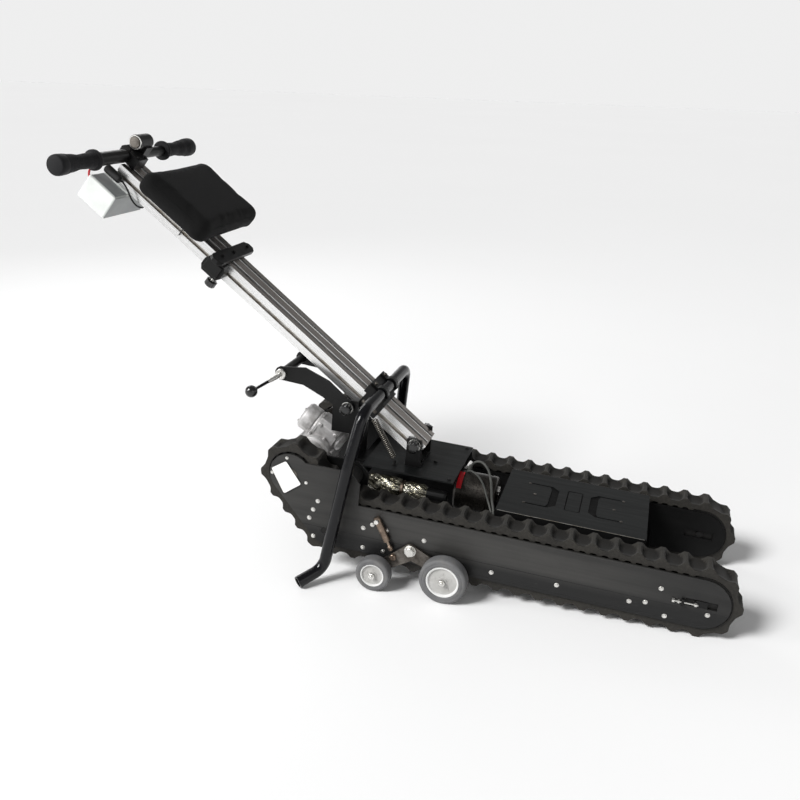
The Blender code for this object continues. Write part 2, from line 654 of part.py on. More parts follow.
def mast_profile():
    """Section of the 90 x 45 extrusion: slots at its faces and two hollow chambers."""
    depth, half, step = 0.008, 0.0045, 0.022
    mid = (MAST_TOP + MAST_BOTTOM) / 2
    outline = [(MAST_HALF_Y, mid + half), (MAST_HALF_Y, MAST_TOP)]
    for y in (step, -step):
        outline += [(y + half, MAST_TOP), (y + half, MAST_TOP - depth), (y - half, MAST_TOP - depth),
                    (y - half, MAST_TOP)]
    outline += [(-MAST_HALF_Y, MAST_TOP), (-MAST_HALF_Y, mid + half), (-MAST_HALF_Y + depth, mid + half),
                (-MAST_HALF_Y + depth, mid - half), (-MAST_HALF_Y, mid - half),
                (-MAST_HALF_Y, MAST_BOTTOM)]
    for y in (-step, step):
        outline += [(y - half, MAST_BOTTOM), (y - half, MAST_BOTTOM + depth),
                    (y + half, MAST_BOTTOM + depth), (y + half, MAST_BOTTOM)]
    outline += [(MAST_HALF_Y, MAST_BOTTOM), (MAST_HALF_Y, mid - half),
                (MAST_HALF_Y - depth, mid - half), (MAST_HALF_Y - depth, mid + half)]
    chambers = [rectangle(y, mid, 0.024, 0.018) for y in (-0.0165, 0.0165)]
    return [outline, *chambers]


def mast_body(mast):
    """The extrusion, with the hole for its hinge pin."""
    length = MAST_END - MAST_START
    column = to_mesh(flat("mast_extrusion", mast_profile(), length, "aluminium", mast,
                          ((MAST_START + MAST_END) / 2, 0.0, 0.0), CROSSWISE))
    bore = rod("mast_bore", (0, -0.1, 0), (0, 0.1, 0), 0.0066, "aluminium", mast, 20)
    combine(column, [bore], "DIFFERENCE")


def leg_frame(mast, frame):
    """The bent tube with its two feet, and the saddle that holds it on the mast."""
    turn = mast.matrix_world.inverted() @ frame.matrix_world
    foot_x, foot_y = -0.585, 0.296
    shin = [(-0.505, 0.2235, 0.247), (-0.541, 0.2445, -0.014),
            (foot_x, foot_y, on_ground(foot_x, LEG_R) + 0.0002)]
    left = [Vector((LEG_U, -0.178, LEG_N))] + [turn @ Vector(point) for point in shin]
    right = [Vector((point.x, -point.y, point.z)) for point in reversed(left)]
    pipe("leg_tube", rounded_route(right + left, 0.042, 5), LEG_R, "black_paint", mast, 2)
    rest, side_in, side_out, low = MAST_TOP + 0.0005, 0.0455, 0.0505, -0.024
    channel = [(-side_out, low), (-side_in, low), (-side_in, rest), (side_in, rest),
               (side_in, low), (side_out, low), (side_out, rest + 0.005), (-side_out, rest + 0.005)]
    saddle = to_mesh(flat("leg_saddle", [channel], 0.056, "black_paint", mast, (LEG_U, 0.0, 0.0),
                          CROSSWISE))
    block = box("saddle_block", (LEG_U - 0.020, -0.058, rest + 0.003),
                (LEG_U + 0.036, 0.058, LEG_N + 0.004), "black_paint", mast)
    groove = rod("saddle_groove", (LEG_U, -0.075, LEG_N), (LEG_U, 0.075, LEG_N), LEG_R + 0.0006,
                 "black_paint", mast, 24)
    combine(saddle, [block], "UNION")
    combine(saddle, [groove], "DIFFERENCE")


def spring(frame):
    """Outer shape of the assist spring between saddle and base, on the right of the mast."""
    rod("assist_spring", (-0.4985, -0.0655, 0.3205), (-0.4349, -0.0655, 0.2210), 0.0085,
        "zinc_steel", frame, 16)


def wheelchair_clamp(mast):
    """Clamp that slides on the mast, and its tightening knob."""
    rest = MAST_TOP + 0.0005
    bar = box("slide_clamp", (0.635, -0.098, rest), (0.671, 0.098, rest + 0.012), "black_paint",
              mast)
    block = box("clamp_block", (0.623, 0.0450, -0.030), (0.683, 0.074, rest + 0.002),
                "black_paint", mast)
    combine(bar, [block], "UNION")
    turned("clamp_knob", [(0.0, 0.0), (0.005, 0.0), (0.005, -0.008), (0.013, -0.010),
                          (0.013, -0.022), (0.010, -0.026), (0.0, -0.026)], "black_plastic", mast,
           (0.639, 0.060, -0.0305), (0, 0, 1), 18)


def headrest(mast):
    """Backing board and the padded cushion on it."""
    box("headrest_board", (0.722, -0.115, MAST_TOP + 0.0005), (0.882, 0.115, MAST_TOP + 0.0125),
        "black_plastic", mast, 0.002)
    box("headrest_pad", (0.688, -0.157, 0.0295), (0.900, 0.157, 0.1000), "pad_fabric", mast, 0.022, 3)


def handlebar(mast):
    """Cross bar, its clamp, two grips and the control pod with its button."""
    bar = rod("handlebar_tube", (BAR_U, -0.284, BAR_N), (BAR_U, 0.284, BAR_N), BAR_R, "black_paint",
              mast, 24)
    sleeve = rod("bar_sleeve", (BAR_U, 0.0275, BAR_N), (BAR_U, 0.1492, BAR_N), SLEEVE_R, "black_paint",
                 mast, 24)
    combine(bar, [sleeve], "UNION")
    clamp = box("handlebar_clamp", (0.968, -0.022, MAST_TOP + 0.0005), (1.024, 0.022, BAR_N + 0.0155),
                "black_paint", mast)
    bores = [rod(f"bar_bore_{i}", (BAR_U, -0.1, BAR_N), (BAR_U, 0.1, BAR_N), BAR_R + 0.0005,
                 "black_paint", mast, 24) for i in range(2)]
    combine(clamp, [bores[0]], "DIFFERENCE")
    bore = BAR_R + 0.0004
    profile = [(0.0, 0.150), (0.013, 0.148), (0.0215, 0.140), (0.0234, 0.125), (0.0205, 0.095),
               (0.0165, 0.060), (0.0175, 0.030), (0.0190, 0.012), (0.0245, 0.009), (0.0245, 0.0),
               (bore, 0.0), (bore, 0.1345), (0.0, 0.1345)]
    for side, sign in SIDES.items():
        turned(f"{side}_grip", profile, "grip_foam", mast, (BAR_U, -sign * 0.150, BAR_N),
               (0, -sign, 0), 20)
    pod_u, pod_n, left, right = BAR_U + 0.006, BAR_N + 0.0345, -0.056, -0.002
    pod = rod("control_pod", (pod_u, left, pod_n), (pod_u, right, pod_n), 0.0185, "black_plastic",
              mast, 24)
    mount = box("pod_mount", (BAR_U - 0.018, -0.052, MAST_TOP + 0.0005), (BAR_U + 0.018, -0.0225, pod_n),
                "black_plastic", mast)
    pocket = rod("button_pocket", (pod_u, right - 0.004, pod_n), (pod_u, right + 0.010, pod_n), 0.0140,
                 "black_plastic", mast, 24)
    combine(pod, [mount], "UNION")
    combine(pod, [bores[1], pocket], "DIFFERENCE")
    rod("pod_button", (pod_u, right - 0.0015, pod_n), (pod_u, right + 0.0040, pod_n), 0.0134,
        "zinc_steel", mast, 24)


def battery_and_key(mast):
    """Battery case on its bracket, the key switch and the lead between key and mast."""
    case = box("battery_case", (0.940, -0.085, -0.108), (1.027, 0.085, -0.0420), "case_grey", mast,
               0.004, 2)
    foot = box("battery_foot", (0.945, -0.030, -0.0450), (0.990, 0.030, MAST_BOTTOM - 0.0003),
               "case_grey", mast)
    combine(case, [foot], "UNION")
    turned("key_switch", [(0.0, 0.024), (0.0085, 0.024), (0.0110, 0.021), (0.0110, -0.020),
                          (0.0060, -0.0245), (0.0, -0.0245)], "black_plastic", mast,
           (0.989, 0.0560, -0.011), (1, 0, 0), 20)
    route = [(0.9642, 0.056, -0.011), (0.957, 0.056, -0.0112), (0.948, 0.0572, -0.0125),
             (0.938, 0.0585, -0.0160), (0.928, 0.0590, -0.0215), (0.918, 0.0580, -0.0275),
             (0.909, 0.0545, -0.0325), (0.902, 0.0490, -0.0360), (0.897, 0.0420, -0.0375),
             (0.893, 0.0350, -0.0372), (0.893, 0.0305, -0.0350), (0.893, 0.0290, -0.0320),
             (0.893, 0.0290, -0.0284)]
    pipe("key_lead", route, 0.0022, "cable_black", mast, 2)


def build():
    """Build the whole machine on its tilted chassis frame."""
    tilt = math.atan(GROUND_SLOPE)
    frame = empty("chassis_frame")
    frame.rotation_euler = (0.0, tilt, 0.0)
    ground = Vector((GROUND_X, 0.0, 0.0))
    turned_ground = ground.copy()
    turned_ground.rotate(frame.rotation_euler)
    frame.location = (-ORIGIN_X, 0.0, -turned_ground.z)
    mast = empty("mast_pivot", frame, HINGE)
    mast.rotation_euler = (0.0, -MAST_ANGLE, math.pi)
    bpy.context.view_layer.update()
    side_plates(frame)
    belts(frame)
    belt_rollers(frame)
    drive_train(frame)
    gearbox(frame)
    cross_tubes(frame)
    decks(frame)
    motors_inside(frame)
    running_gear(frame)
    hinge_bracket(frame)
    cradle(frame)
    lever_arm(frame)
    mast_body(mast)
    leg_frame(mast, frame)
    spring(frame)
    wheelchair_clamp(mast)
    headrest(mast)
    handlebar(mast)
    battery_and_key(mast)


build()
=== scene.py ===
"""Looks for the tracked stair climber: detailed pieces, materials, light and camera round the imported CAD."""
import json
import math

import bmesh
import bpy
from mathutils import Matrix, Vector
from mathutils.bvhtree import BVHTree


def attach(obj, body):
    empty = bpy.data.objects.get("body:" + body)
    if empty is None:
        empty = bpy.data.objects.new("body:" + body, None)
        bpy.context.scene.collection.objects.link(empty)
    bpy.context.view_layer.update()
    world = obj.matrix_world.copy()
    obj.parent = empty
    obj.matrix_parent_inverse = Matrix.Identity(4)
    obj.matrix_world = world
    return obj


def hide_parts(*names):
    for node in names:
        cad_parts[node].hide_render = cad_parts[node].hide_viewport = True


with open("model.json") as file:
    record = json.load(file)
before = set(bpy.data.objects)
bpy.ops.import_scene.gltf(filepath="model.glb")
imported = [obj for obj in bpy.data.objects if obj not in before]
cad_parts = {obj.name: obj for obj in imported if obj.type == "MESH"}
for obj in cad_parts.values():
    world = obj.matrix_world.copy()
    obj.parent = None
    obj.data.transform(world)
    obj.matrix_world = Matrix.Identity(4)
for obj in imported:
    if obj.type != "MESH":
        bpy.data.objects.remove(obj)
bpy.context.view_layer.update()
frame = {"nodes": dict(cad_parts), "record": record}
NODES = frame["nodes"]

# Frames in which the machine was drawn: the tilted chassis, and the mast (x up the mast, z its front).
CHASSIS = Matrix(((0.998379, 0, 0.056908, 0.4169), (0, 1, 0, 0), (-0.056908, 0, 0.998379, 0.018324),
    (0, 0, 0, 1)))
MAST = Matrix(((-0.784102, 0, 0.620632, 0.040388), (0, -1, 0, 0), (0.620632, 0, 0.784102, 0.301209),
    (0, 0, 0, 1)))
WORLD = Matrix.Identity(4)
CHASSIS_TILT = math.atan2(0.056908, 0.998379)
MAST_TILT = -math.atan2(0.620632, 0.784102)
SIDES = {"right": -1, "left": 1}

# Belt track and shared places in the chassis frame; the cushion's underside is in the mast's.
LUG_PITCH, BELT_BASE, LUG_HEIGHT, BELT_HALF, BELT_MID_Y = 0.05, 0.009, 0.0135, 0.029, 0.1685
TOOTH_DEPTH, EDGE_DROP, TOOTHLESS_END = 0.0036, 0.0012, 0.012
TRACK_Z, FRONT_X, GROUND_SLOPE = 0.087, 0.322, 0.057
CIRCLES = [((FRONT_X, TRACK_Z), 0.0645), ((-0.512, 0.1965), -0.045), ((-0.653, 0.191), 0.0575),
    ((-0.56, 0.0625), 0.04)]
PLATE_FACE = 0.2035
DRIVE = Vector((-0.653, 0, 0.191))
LEVER_END = Vector((-0.7406, 0, 0.3925))
WHEEL_Y = 0.238
BASE_TOP = 0.205
DECK_TOP, DECK_LOW_X, DECK_HIGH_X = 0.17, -0.165, 0.185
PAD_UNDER, SWELL = 0.0445, 0.0055


# ---------------------------------------------------------------- materials
def rgba(colour):
    """A colour as four channels, from three or from a neutral grey's one."""
    return (*colour, 1) if isinstance(colour, tuple) else (colour, colour, colour, 1)


class Nodes:
    """A material's node tree, with short calls for the nodes used here."""

    def __init__(self, name, **sockets):
        self.material = bpy.data.materials.new(name)
        self.material.use_nodes = True
        self.tree = self.material.node_tree
        self.shader = self.tree.nodes["Principled BSDF"]
        for socket, value in sockets.items():
            self.shader.inputs[socket.replace("_", " ")].default_value = value
        self.object_space = self.add("ShaderNodeTexCoord").outputs["Object"]

    def add(self, kind, **inputs):
        node = self.tree.nodes.new(kind)
        for key, value in inputs.items():
            self.set(node, key.replace("_", " "), value)
        return node

    def set(self, node, key, value):
        socket = node.inputs[int(key)] if key.isdigit() else node.inputs[key]
        if isinstance(value, bpy.types.NodeSocket):
            self.tree.links.new(value, socket)
        else:
            socket.default_value = value

    def coords(self, scale=(1, 1, 1), tilt=0, vector=None):
        mapping = self.add("ShaderNodeMapping", Vector=vector or self.object_space, Scale=scale,
            Rotation=(0, tilt, 0))
        if tilt:
            mapping.inputs["Scale"].default_value = (1, 1, 1)
            mapping = self.add("ShaderNodeMapping", Vector=mapping.outputs[0], Scale=scale)
        return mapping.outputs[0]

    def noise(self, scale, vector=None, detail=4, rough=0.55):
        return self.add("ShaderNodeTexNoise", Vector=vector or self.object_space, Scale=scale, Detail=detail,
            Roughness=rough).outputs["Fac"]

    def ramp(self, value, *stops):
        node = self.add("ShaderNodeValToRGB", Fac=value)
        points = node.color_ramp.elements
        while len(points) < len(stops):
            points.new(0.5)
        for point, (place, colour) in zip(points, stops):
            point.position, point.color = place, rgba(colour)
        return node.outputs["Color"]

    def spread(self, value, low, high, start=0.3, end=0.7):
        return self.add("ShaderNodeMapRange", Value=value, From_Min=start, From_Max=end, To_Min=low,
            To_Max=high).outputs["Result"]

    def mix(self, factor, first, second, blend="MIX"):
        node = self.tree.nodes.new("ShaderNodeMix")
        node.data_type, node.blend_type = "RGBA", blend
        self.set(node, "0", factor)
        for index, value in ((6, first), (7, second)):
            if isinstance(value, bpy.types.NodeSocket):
                self.tree.links.new(value, node.inputs[index])
            else:
                node.inputs[index].default_value = rgba(value)
        return node.outputs[2]

    def math(self, operation, *values):
        node = self.tree.nodes.new("ShaderNodeMath")
        node.operation = operation
        for index, value in enumerate(values):
            self.set(node, str(index), value)
        return node.outputs[0]

    def bump(self, height, strength, distance=0.001):
        previous = self.shader.inputs["Normal"].links
        node = self.add("ShaderNodeBump", Height=height, Strength=strength, Distance=distance)
        if previous:
            self.tree.links.new(previous[0].from_socket, node.inputs["Normal"])
        self.tree.links.new(node.outputs["Normal"], self.shader.inputs["Normal"])

    def finish(self, colour, roughness):
        self.tree.links.new(colour, self.shader.inputs["Base Color"])
        self.tree.links.new(roughness, self.shader.inputs["Roughness"])


def painted(name, dark, light, rough, tilt=0, streak=1, coat=0, grain=900, wear=0, gloss=0.25):
    """Paint with cloudy tone, fine orange peel, long faint scratches and worn specks."""
    m = Nodes(name, Coat_Weight=coat, Coat_Roughness=0.12, Specular_IOR_Level=gloss)
    cloud = m.noise(9, m.coords((streak, 1, 1), tilt))
    scratch = m.noise(160, m.coords((0.04, 0.6, 1), tilt), 6, 0.7)
    tone = m.mix(m.spread(scratch, 0, 0.35, 0.45, 0.75), m.ramp(cloud, (0.3, dark), (0.7, light)), light)
    if wear:
        speck = m.noise(70, None, 8, 0.75)
        tone = m.mix(m.spread(speck, 0, wear, 0.64, 0.78), tone, (0.16, 0.155, 0.145))
    m.finish(tone, m.spread(scratch, rough - 0.08, rough + 0.12))
    m.bump(m.noise(grain), 0.12, 0.0004)
    m.bump(scratch, 0.1, 0.0003)
    return m.material


def metal(name, dark, light, rough, stretch=(1, 1, 1), tilt=0, grain=300, bump=0.08, stain=None, metallic=1):
    """Bare or plated metal: drawn or cast grain, uneven tone and roughness."""
    m = Nodes(name, Metallic=metallic)
    fine = m.noise(grain, m.coords(stretch, tilt), 5, 0.6)
    cloud = m.noise(14)
    tone = m.mix(0.5, m.ramp(fine, (0.3, dark), (0.7, light)), m.ramp(cloud, (0.35, dark), (0.65, light)))
    if stain:
        tone = m.mix(m.spread(m.noise(45, None, 6), 0, 0.75, 0.45, 0.65), tone, stain)
    m.finish(tone, m.spread(fine, rough - 0.07, rough + 0.12))
    m.bump(fine, bump, 0.0004)
    return m.material


def moulded(name, dark, light, rough, grain=1100, bump=0.18, coat=0, dust=0, sheen=0, gloss=0.3):
    """Moulded plastic or rubber: fine erosion grain, soft tone changes and a little dust."""
    m = Nodes(name, Coat_Weight=coat, Coat_Roughness=0.2, Sheen_Weight=sheen, Sheen_Roughness=0.5,
        Specular_IOR_Level=gloss)
    cloud = m.noise(22, None, 5)
    tone = m.ramp(cloud, (0.3, dark), (0.7, light))
    if dust:
        speck = m.noise(38, None, 9, 0.72)
        tone = m.mix(m.spread(speck, 0, dust, 0.5, 0.72), tone, (0.21, 0.195, 0.17))
    m.finish(tone, m.spread(cloud, rough - 0.06, rough + 0.1))
    m.bump(m.noise(grain, None, 3), bump, 0.0004)
    return m.material


def plate_paint():
    """Black side plates: a brushed, paler upper band that is a painted reflection, streaks, scuffs, and two
    faint fold lines, bumped and painted dark as shade.
    """
    m = Nodes("side_plate_black", Specular_IOR_Level=0.3, Coat_Weight=0.05, Coat_Roughness=0.3)
    space = m.coords((1, 1, 1), -CHASSIS_TILT)
    streak = m.noise(26, m.coords((0.05, 1, 1.6), -CHASSIS_TILT), 7, 0.65)
    cloud = m.noise(5, m.coords((0.5, 1, 1), -CHASSIS_TILT))
    scuff = m.noise(60, m.coords((0.35, 1, 1), -CHASSIS_TILT), 9, 0.75)
    split = m.add("ShaderNodeSeparateXYZ", Vector=space)
    tone = m.ramp(streak, (0.3, 0.004), (0.75, 0.01))
    pale = m.ramp(streak, (0.28, (0.022, 0.0215, 0.0205)), (0.72, (0.046, 0.0445, 0.042)))
    # Painted reflection: the plate's upper band, fading towards the front, is mixed to a paler tone.
    upper = m.math("MULTIPLY", m.spread(split.outputs["Z"], 0, 1, 0.098, 0.122),
        m.spread(cloud, 0.45, 1, 0.3, 0.6))
    upper = m.math("MULTIPLY", upper, m.spread(split.outputs["X"], 1, 0.3, 0.45, 0.72))
    tone = m.mix(upper, tone, pale)
    tone = m.mix(m.spread(scuff, 0, 0.22, 0.62, 0.74), tone, (0.07, 0.068, 0.065))
    # Painted shade: a thin dark line, with a bump, along each fold line of the flat plate.
    for height in (0.0935, 0.0585):
        gap = m.math("ABSOLUTE", m.math("SUBTRACT", split.outputs["Z"], height + 0.0183))
        line = m.math("LESS_THAN", gap, 0.0007)
        tone = m.mix(line, tone, 0.004)
        m.bump(m.math("SUBTRACT", 1, line), 0.6, 0.0008)
    m.finish(tone, m.spread(streak, 0.34, 0.52))
    m.bump(scuff, 0.1, 0.0004)
    return m.material


def belt_rubber(name, dark, light, dust):
    """Track rubber: dusty charcoal with a fine moulded grain."""
    m = Nodes(name, Sheen_Weight=0.05, Sheen_Roughness=0.6, Specular_IOR_Level=0.25)
    cloud = m.noise(16, None, 6, 0.6)
    fine = m.noise(240, None, 6, 0.7)
    tone = m.mix(m.spread(fine, 0, 0.45, 0.45, 0.7), m.ramp(cloud, (0.3, dark), (0.7, light)), dust)
    m.finish(tone, m.spread(cloud, 0.62, 0.85))
    m.bump(m.noise(1400, None, 3), 0.3, 0.0005)
    m.bump(fine, 0.18, 0.0006)
    return m.material


def extrusion():
    """Clear anodised extrusion: long die lines up the mast and a soft satin sheen, with painted shade darkening
    its front face.
    """
    m = Nodes("mast_aluminium", Metallic=0.9)
    lines = m.noise(420, m.coords((0.004, 1, 1), MAST_TILT), 5, 0.6)
    broad = m.noise(60, m.coords((0.01, 1, 1), MAST_TILT), 3)
    smudge = m.noise(7, None, 5)
    tone = m.ramp(lines, (0.3, 0.76), (0.7, (0.92, 0.92, 0.915)))
    tone = m.mix(m.spread(broad, 0, 0.35), tone, 0.6)
    tone = m.mix(m.spread(smudge, 0, 0.2), tone, (0.74, 0.73, 0.71))
    # Painted shade: faces turned to the mast's front are mixed towards a dark grey, picked by their normal.
    front = m.coords((1, 1, 1), MAST_TILT, m.add("ShaderNodeTexCoord").outputs["Normal"])
    front_shade_mask = m.add("ShaderNodeSeparateXYZ", Vector=front).outputs["Z"]
    tone = m.mix(m.spread(front_shade_mask, 0, 0.92, 0.8, 0.95), tone, (0.33, 0.295, 0.27))
    m.finish(tone, m.spread(lines, 0.24, 0.32))
    m.bump(lines, 0.03, 0.0003)
    return m.material


def woven(name, dark, light, pitch, rough=0.85):
    """Plain weave: two crossed sets of threads about the mast's plane."""
    m = Nodes(name, Sheen_Weight=0.05, Sheen_Roughness=0.45, Sheen_Tint=(0.3, 0.3, 0.32, 1),
        Specular_IOR_Level=0.18)
    space = m.add("ShaderNodeSeparateXYZ", Vector=m.coords((1, 1, 1), MAST_TILT))
    turn = math.tau / pitch
    warp = m.math("SINE", m.math("MULTIPLY", space.outputs["X"], turn))
    weft = m.math("SINE", m.math("MULTIPLY", space.outputs["Y"], turn))
    pile = m.math("SINE", m.math("MULTIPLY", space.outputs["Z"], turn))
    weave = m.math("ADD", m.math("MULTIPLY", warp, weft), m.math("MULTIPLY", pile, 0.6))
    fuzz = m.noise(700, None, 4)
    cloud = m.noise(12, None, 5)
    tone = m.ramp(m.spread(weave, 0, 1, -1.4, 1.4), (0.2, dark), (0.8, light))
    tone = m.mix(m.spread(cloud, 0, 0.4), tone, dark)
    m.finish(tone, m.spread(fuzz, rough - 0.08, rough + 0.08))
    m.bump(weave, 0.35, 0.0005)
    m.bump(fuzz, 0.2, 0.0004)
    return m.material


def film():
    """Crinkled clear film over bright metal: base colour painted from the creases, with painted highlights and
    olive and brown painted shadows.
    """
    m = Nodes("crinkled_film", Metallic=0.85, Coat_Weight=1, Coat_Roughness=0.04)
    crease = m.noise(48, m.coords((0.8, 1.4, 1.4)), 8, 0.72)
    fold = m.add("ShaderNodeTexVoronoi", Vector=m.object_space, Scale=85).outputs["Distance"]
    # Painted highlight and shade: the crease noise runs the base colour from near-black to near-white.
    tone = m.ramp(crease, (0.36, (0.03, 0.027, 0.016)), (0.47, (0.2, 0.185, 0.13)), (0.56, (0.62, 0.59, 0.48)),
        (0.64, (0.95, 0.94, 0.88)))
    m.finish(tone, m.spread(crease, 0.1, 0.3))
    m.bump(crease, 1, 0.0035)
    m.bump(fold, 0.6, 0.0018)
    return m.material


BLACK = painted("satin_black", 0.003, 0.007, 0.36, wear=0.15, gloss=0.22)
GLOSS = painted("gloss_black", (0.002, 0.002, 0.003), (0.004, 0.004, 0.005), 0.14, gloss=0.32)
PLATE = plate_paint()
DECK = painted("deck_grey_green", (0.004, 0.0045, 0.0045), (0.008, 0.009, 0.009), 0.46, -CHASSIS_TILT, 0.4,
    wear=0.12, gloss=0.25)
# Painted shade: a darker copy of the black paint for the inner plates, shaded between the belts.
INNER_SHADE = painted("inner_plate_shaded_black", 0.002, 0.006, 0.42, -CHASSIS_TILT, 0.2, wear=0.1, gloss=0.2)
# Painted shade: near-black laid in recesses and slot floors where shade falls.
RECESS_SHADE = painted("recess_shade_black", 0.002, 0.005, 0.6, gloss=0.1)
ROLLER = painted("roller_black", 0.004, (0.009, 0.0085, 0.008), 0.5, wear=0.15)
DARK_STEEL = metal("dark_rocker_steel", (0.1, 0.09, 0.08), (0.26, 0.24, 0.215), 0.42,
    stain=(0.05, 0.043, 0.037))
BELT = belt_rubber("belt_crest", (0.01, 0.009, 0.0075), (0.022, 0.02, 0.0165), (0.046, 0.042, 0.036))
# Painted shade: a darker copy of the belt rubber for the low pockets between the lugs.
POCKET_SHADE = belt_rubber("belt_pocket_shade", (0.003, 0.0026, 0.002), (0.008, 0.007, 0.0055), (0.016, 0.013, 0.01))
ALUMINIUM = extrusion()
# Painted highlight: near-white, barely metallic, for the lips of the mast's front slots.
LIP_HIGHLIGHT = metal("slot_lip_highlight", (0.85, 0.85, 0.84), (0.95, 0.95, 0.94), 0.3, grain=500, metallic=0.15)
BOLT = metal("bright_zinc", (0.62, 0.61, 0.58), (0.88, 0.87, 0.84), 0.26, grain=500)
ZINC = metal("zinc_plate", (0.36, 0.35, 0.33), (0.6, 0.58, 0.54), 0.36, stain=(0.3, 0.26, 0.2))
BRONZED = metal("brown_strut_steel", (0.16, 0.115, 0.085), (0.42, 0.33, 0.26), 0.34, stain=(0.07, 0.05, 0.04))
CAST = metal("cast_alloy", (0.44, 0.43, 0.43), (0.66, 0.65, 0.64), 0.5, grain=900, bump=0.3,
    stain=(0.24, 0.23, 0.22), metallic=0.6)
SPRING = metal("oiled_spring", (0.1, 0.095, 0.085), (0.26, 0.24, 0.21), 0.32)
TYRE = moulded("grey_tyre", (0.1, 0.101, 0.104), (0.15, 0.15, 0.152), 0.62, dust=0.3)
HUB = moulded("pale_hub", (0.36, 0.355, 0.34), (0.52, 0.515, 0.5), 0.42, coat=0.2, dust=0.25)
RIM = moulded("white_rim", (0.62, 0.62, 0.61), (0.72, 0.72, 0.71), 0.34, coat=0.3, dust=0.1)
PLASTIC = moulded("black_moulding", 0.006, 0.012, 0.44)
KNOB = moulded("glossy_knob", 0.004, 0.008, 0.14, bump=0.03, coat=0.7)
FOAM = moulded("grip_rubber", (0.004, 0.004, 0.005), (0.009, 0.009, 0.01), 0.66, 1600, 0.4, sheen=0.06,
    gloss=0.22)
CASE = moulded("battery_white", (0.62, 0.64, 0.62), (0.72, 0.74, 0.72), 0.4, bump=0.08, dust=0.06)
# Painted shade: a grey copy of the white battery case for its faces turned from the light.
CASE_SHADE = moulded("battery_white_shaded", (0.22, 0.23, 0.23), (0.32, 0.33, 0.33), 0.5)
RED = moulded("red_vinyl", (0.42, 0.006, 0.012), (0.58, 0.012, 0.02), 0.34, coat=0.3)
CABLE = moulded("cable_black", 0.006, 0.012, 0.45)
WIRE = moulded("wire_grey", (0.035, 0.037, 0.034), (0.075, 0.076, 0.07), 0.5)
TAG = moulded("blank_tag", (0.8, 0.79, 0.77), (0.9, 0.89, 0.87), 0.35, bump=0.05)
MOTOR = metal("motor_brown_black", (0.016, 0.014, 0.012), (0.075, 0.068, 0.06), 0.3, stain=(0.02, 0.018, 0.016),
    metallic=0.8)
FILM = film()
FABRIC = woven("pad_cloth", 0.002, 0.006, 0.0016)

# Record slots and the materials used for each; a CAD node takes the first.
FINISHES = {"black_paint": (BLACK, GLOSS, ROLLER), "deck_paint": (DECK,), "belt_rubber": (BELT,),
    "zinc_steel": (ZINC, BOLT, DARK_STEEL, BRONZED, SPRING), "cast_aluminium": (CAST,), "motor_black": (MOTOR,),
    "wrap_film": (FILM,), "tyre_rubber": (TYRE,), "aluminium": (ALUMINIUM, LIP_HIGHLIGHT),
    "black_plastic": (PLASTIC, KNOB, RECESS_SHADE), "pad_fabric": (FABRIC,), "grip_foam": (FOAM,),
    "case_grey": (CASE, CASE_SHADE, TAG, HUB, RIM), "cable_black": (CABLE, WIRE)}


def repaint(node, material):
    """Gives a CAD node a better material."""
    for holder in NODES[node].material_slots:
        holder.material = material


def repaint_all():
    """Every CAD node takes the finish of its slot; a few take their own."""
    for part in frame["record"]["subparts"]:
        repaint(part["node"], FINISHES[part["material_slot"]][0])
    for side in SIDES:
        repaint(f"{side}_outer_plate", PLATE)
        repaint(f"{side}_inner_plate", INNER_SHADE)
        repaint(f"{side}_rocker_arm", DARK_STEEL)
        repaint(f"{side}_strut_tube", BRONZED)
        for roller in ("front_idler", "guide_roller", "bend_roller", "drive_sprocket"):
            repaint(f"{side}_{roller}", ROLLER)
        repaint(f"{side}_strut_rod", BRONZED)
    # Painted shade: the deck under the cover is near-black, so its handle holes and window read dark.
    repaint("front_deck", RECESS_SHADE)
    repaint("actuator_rod", BLACK)
    repaint("pod_button", DARK_STEEL)


# ---------------------------------------------------------------- mesh tools
def place_object(name, data):
    obj = bpy.data.objects.new(name, data)
    bpy.context.scene.collection.objects.link(obj)
    return obj


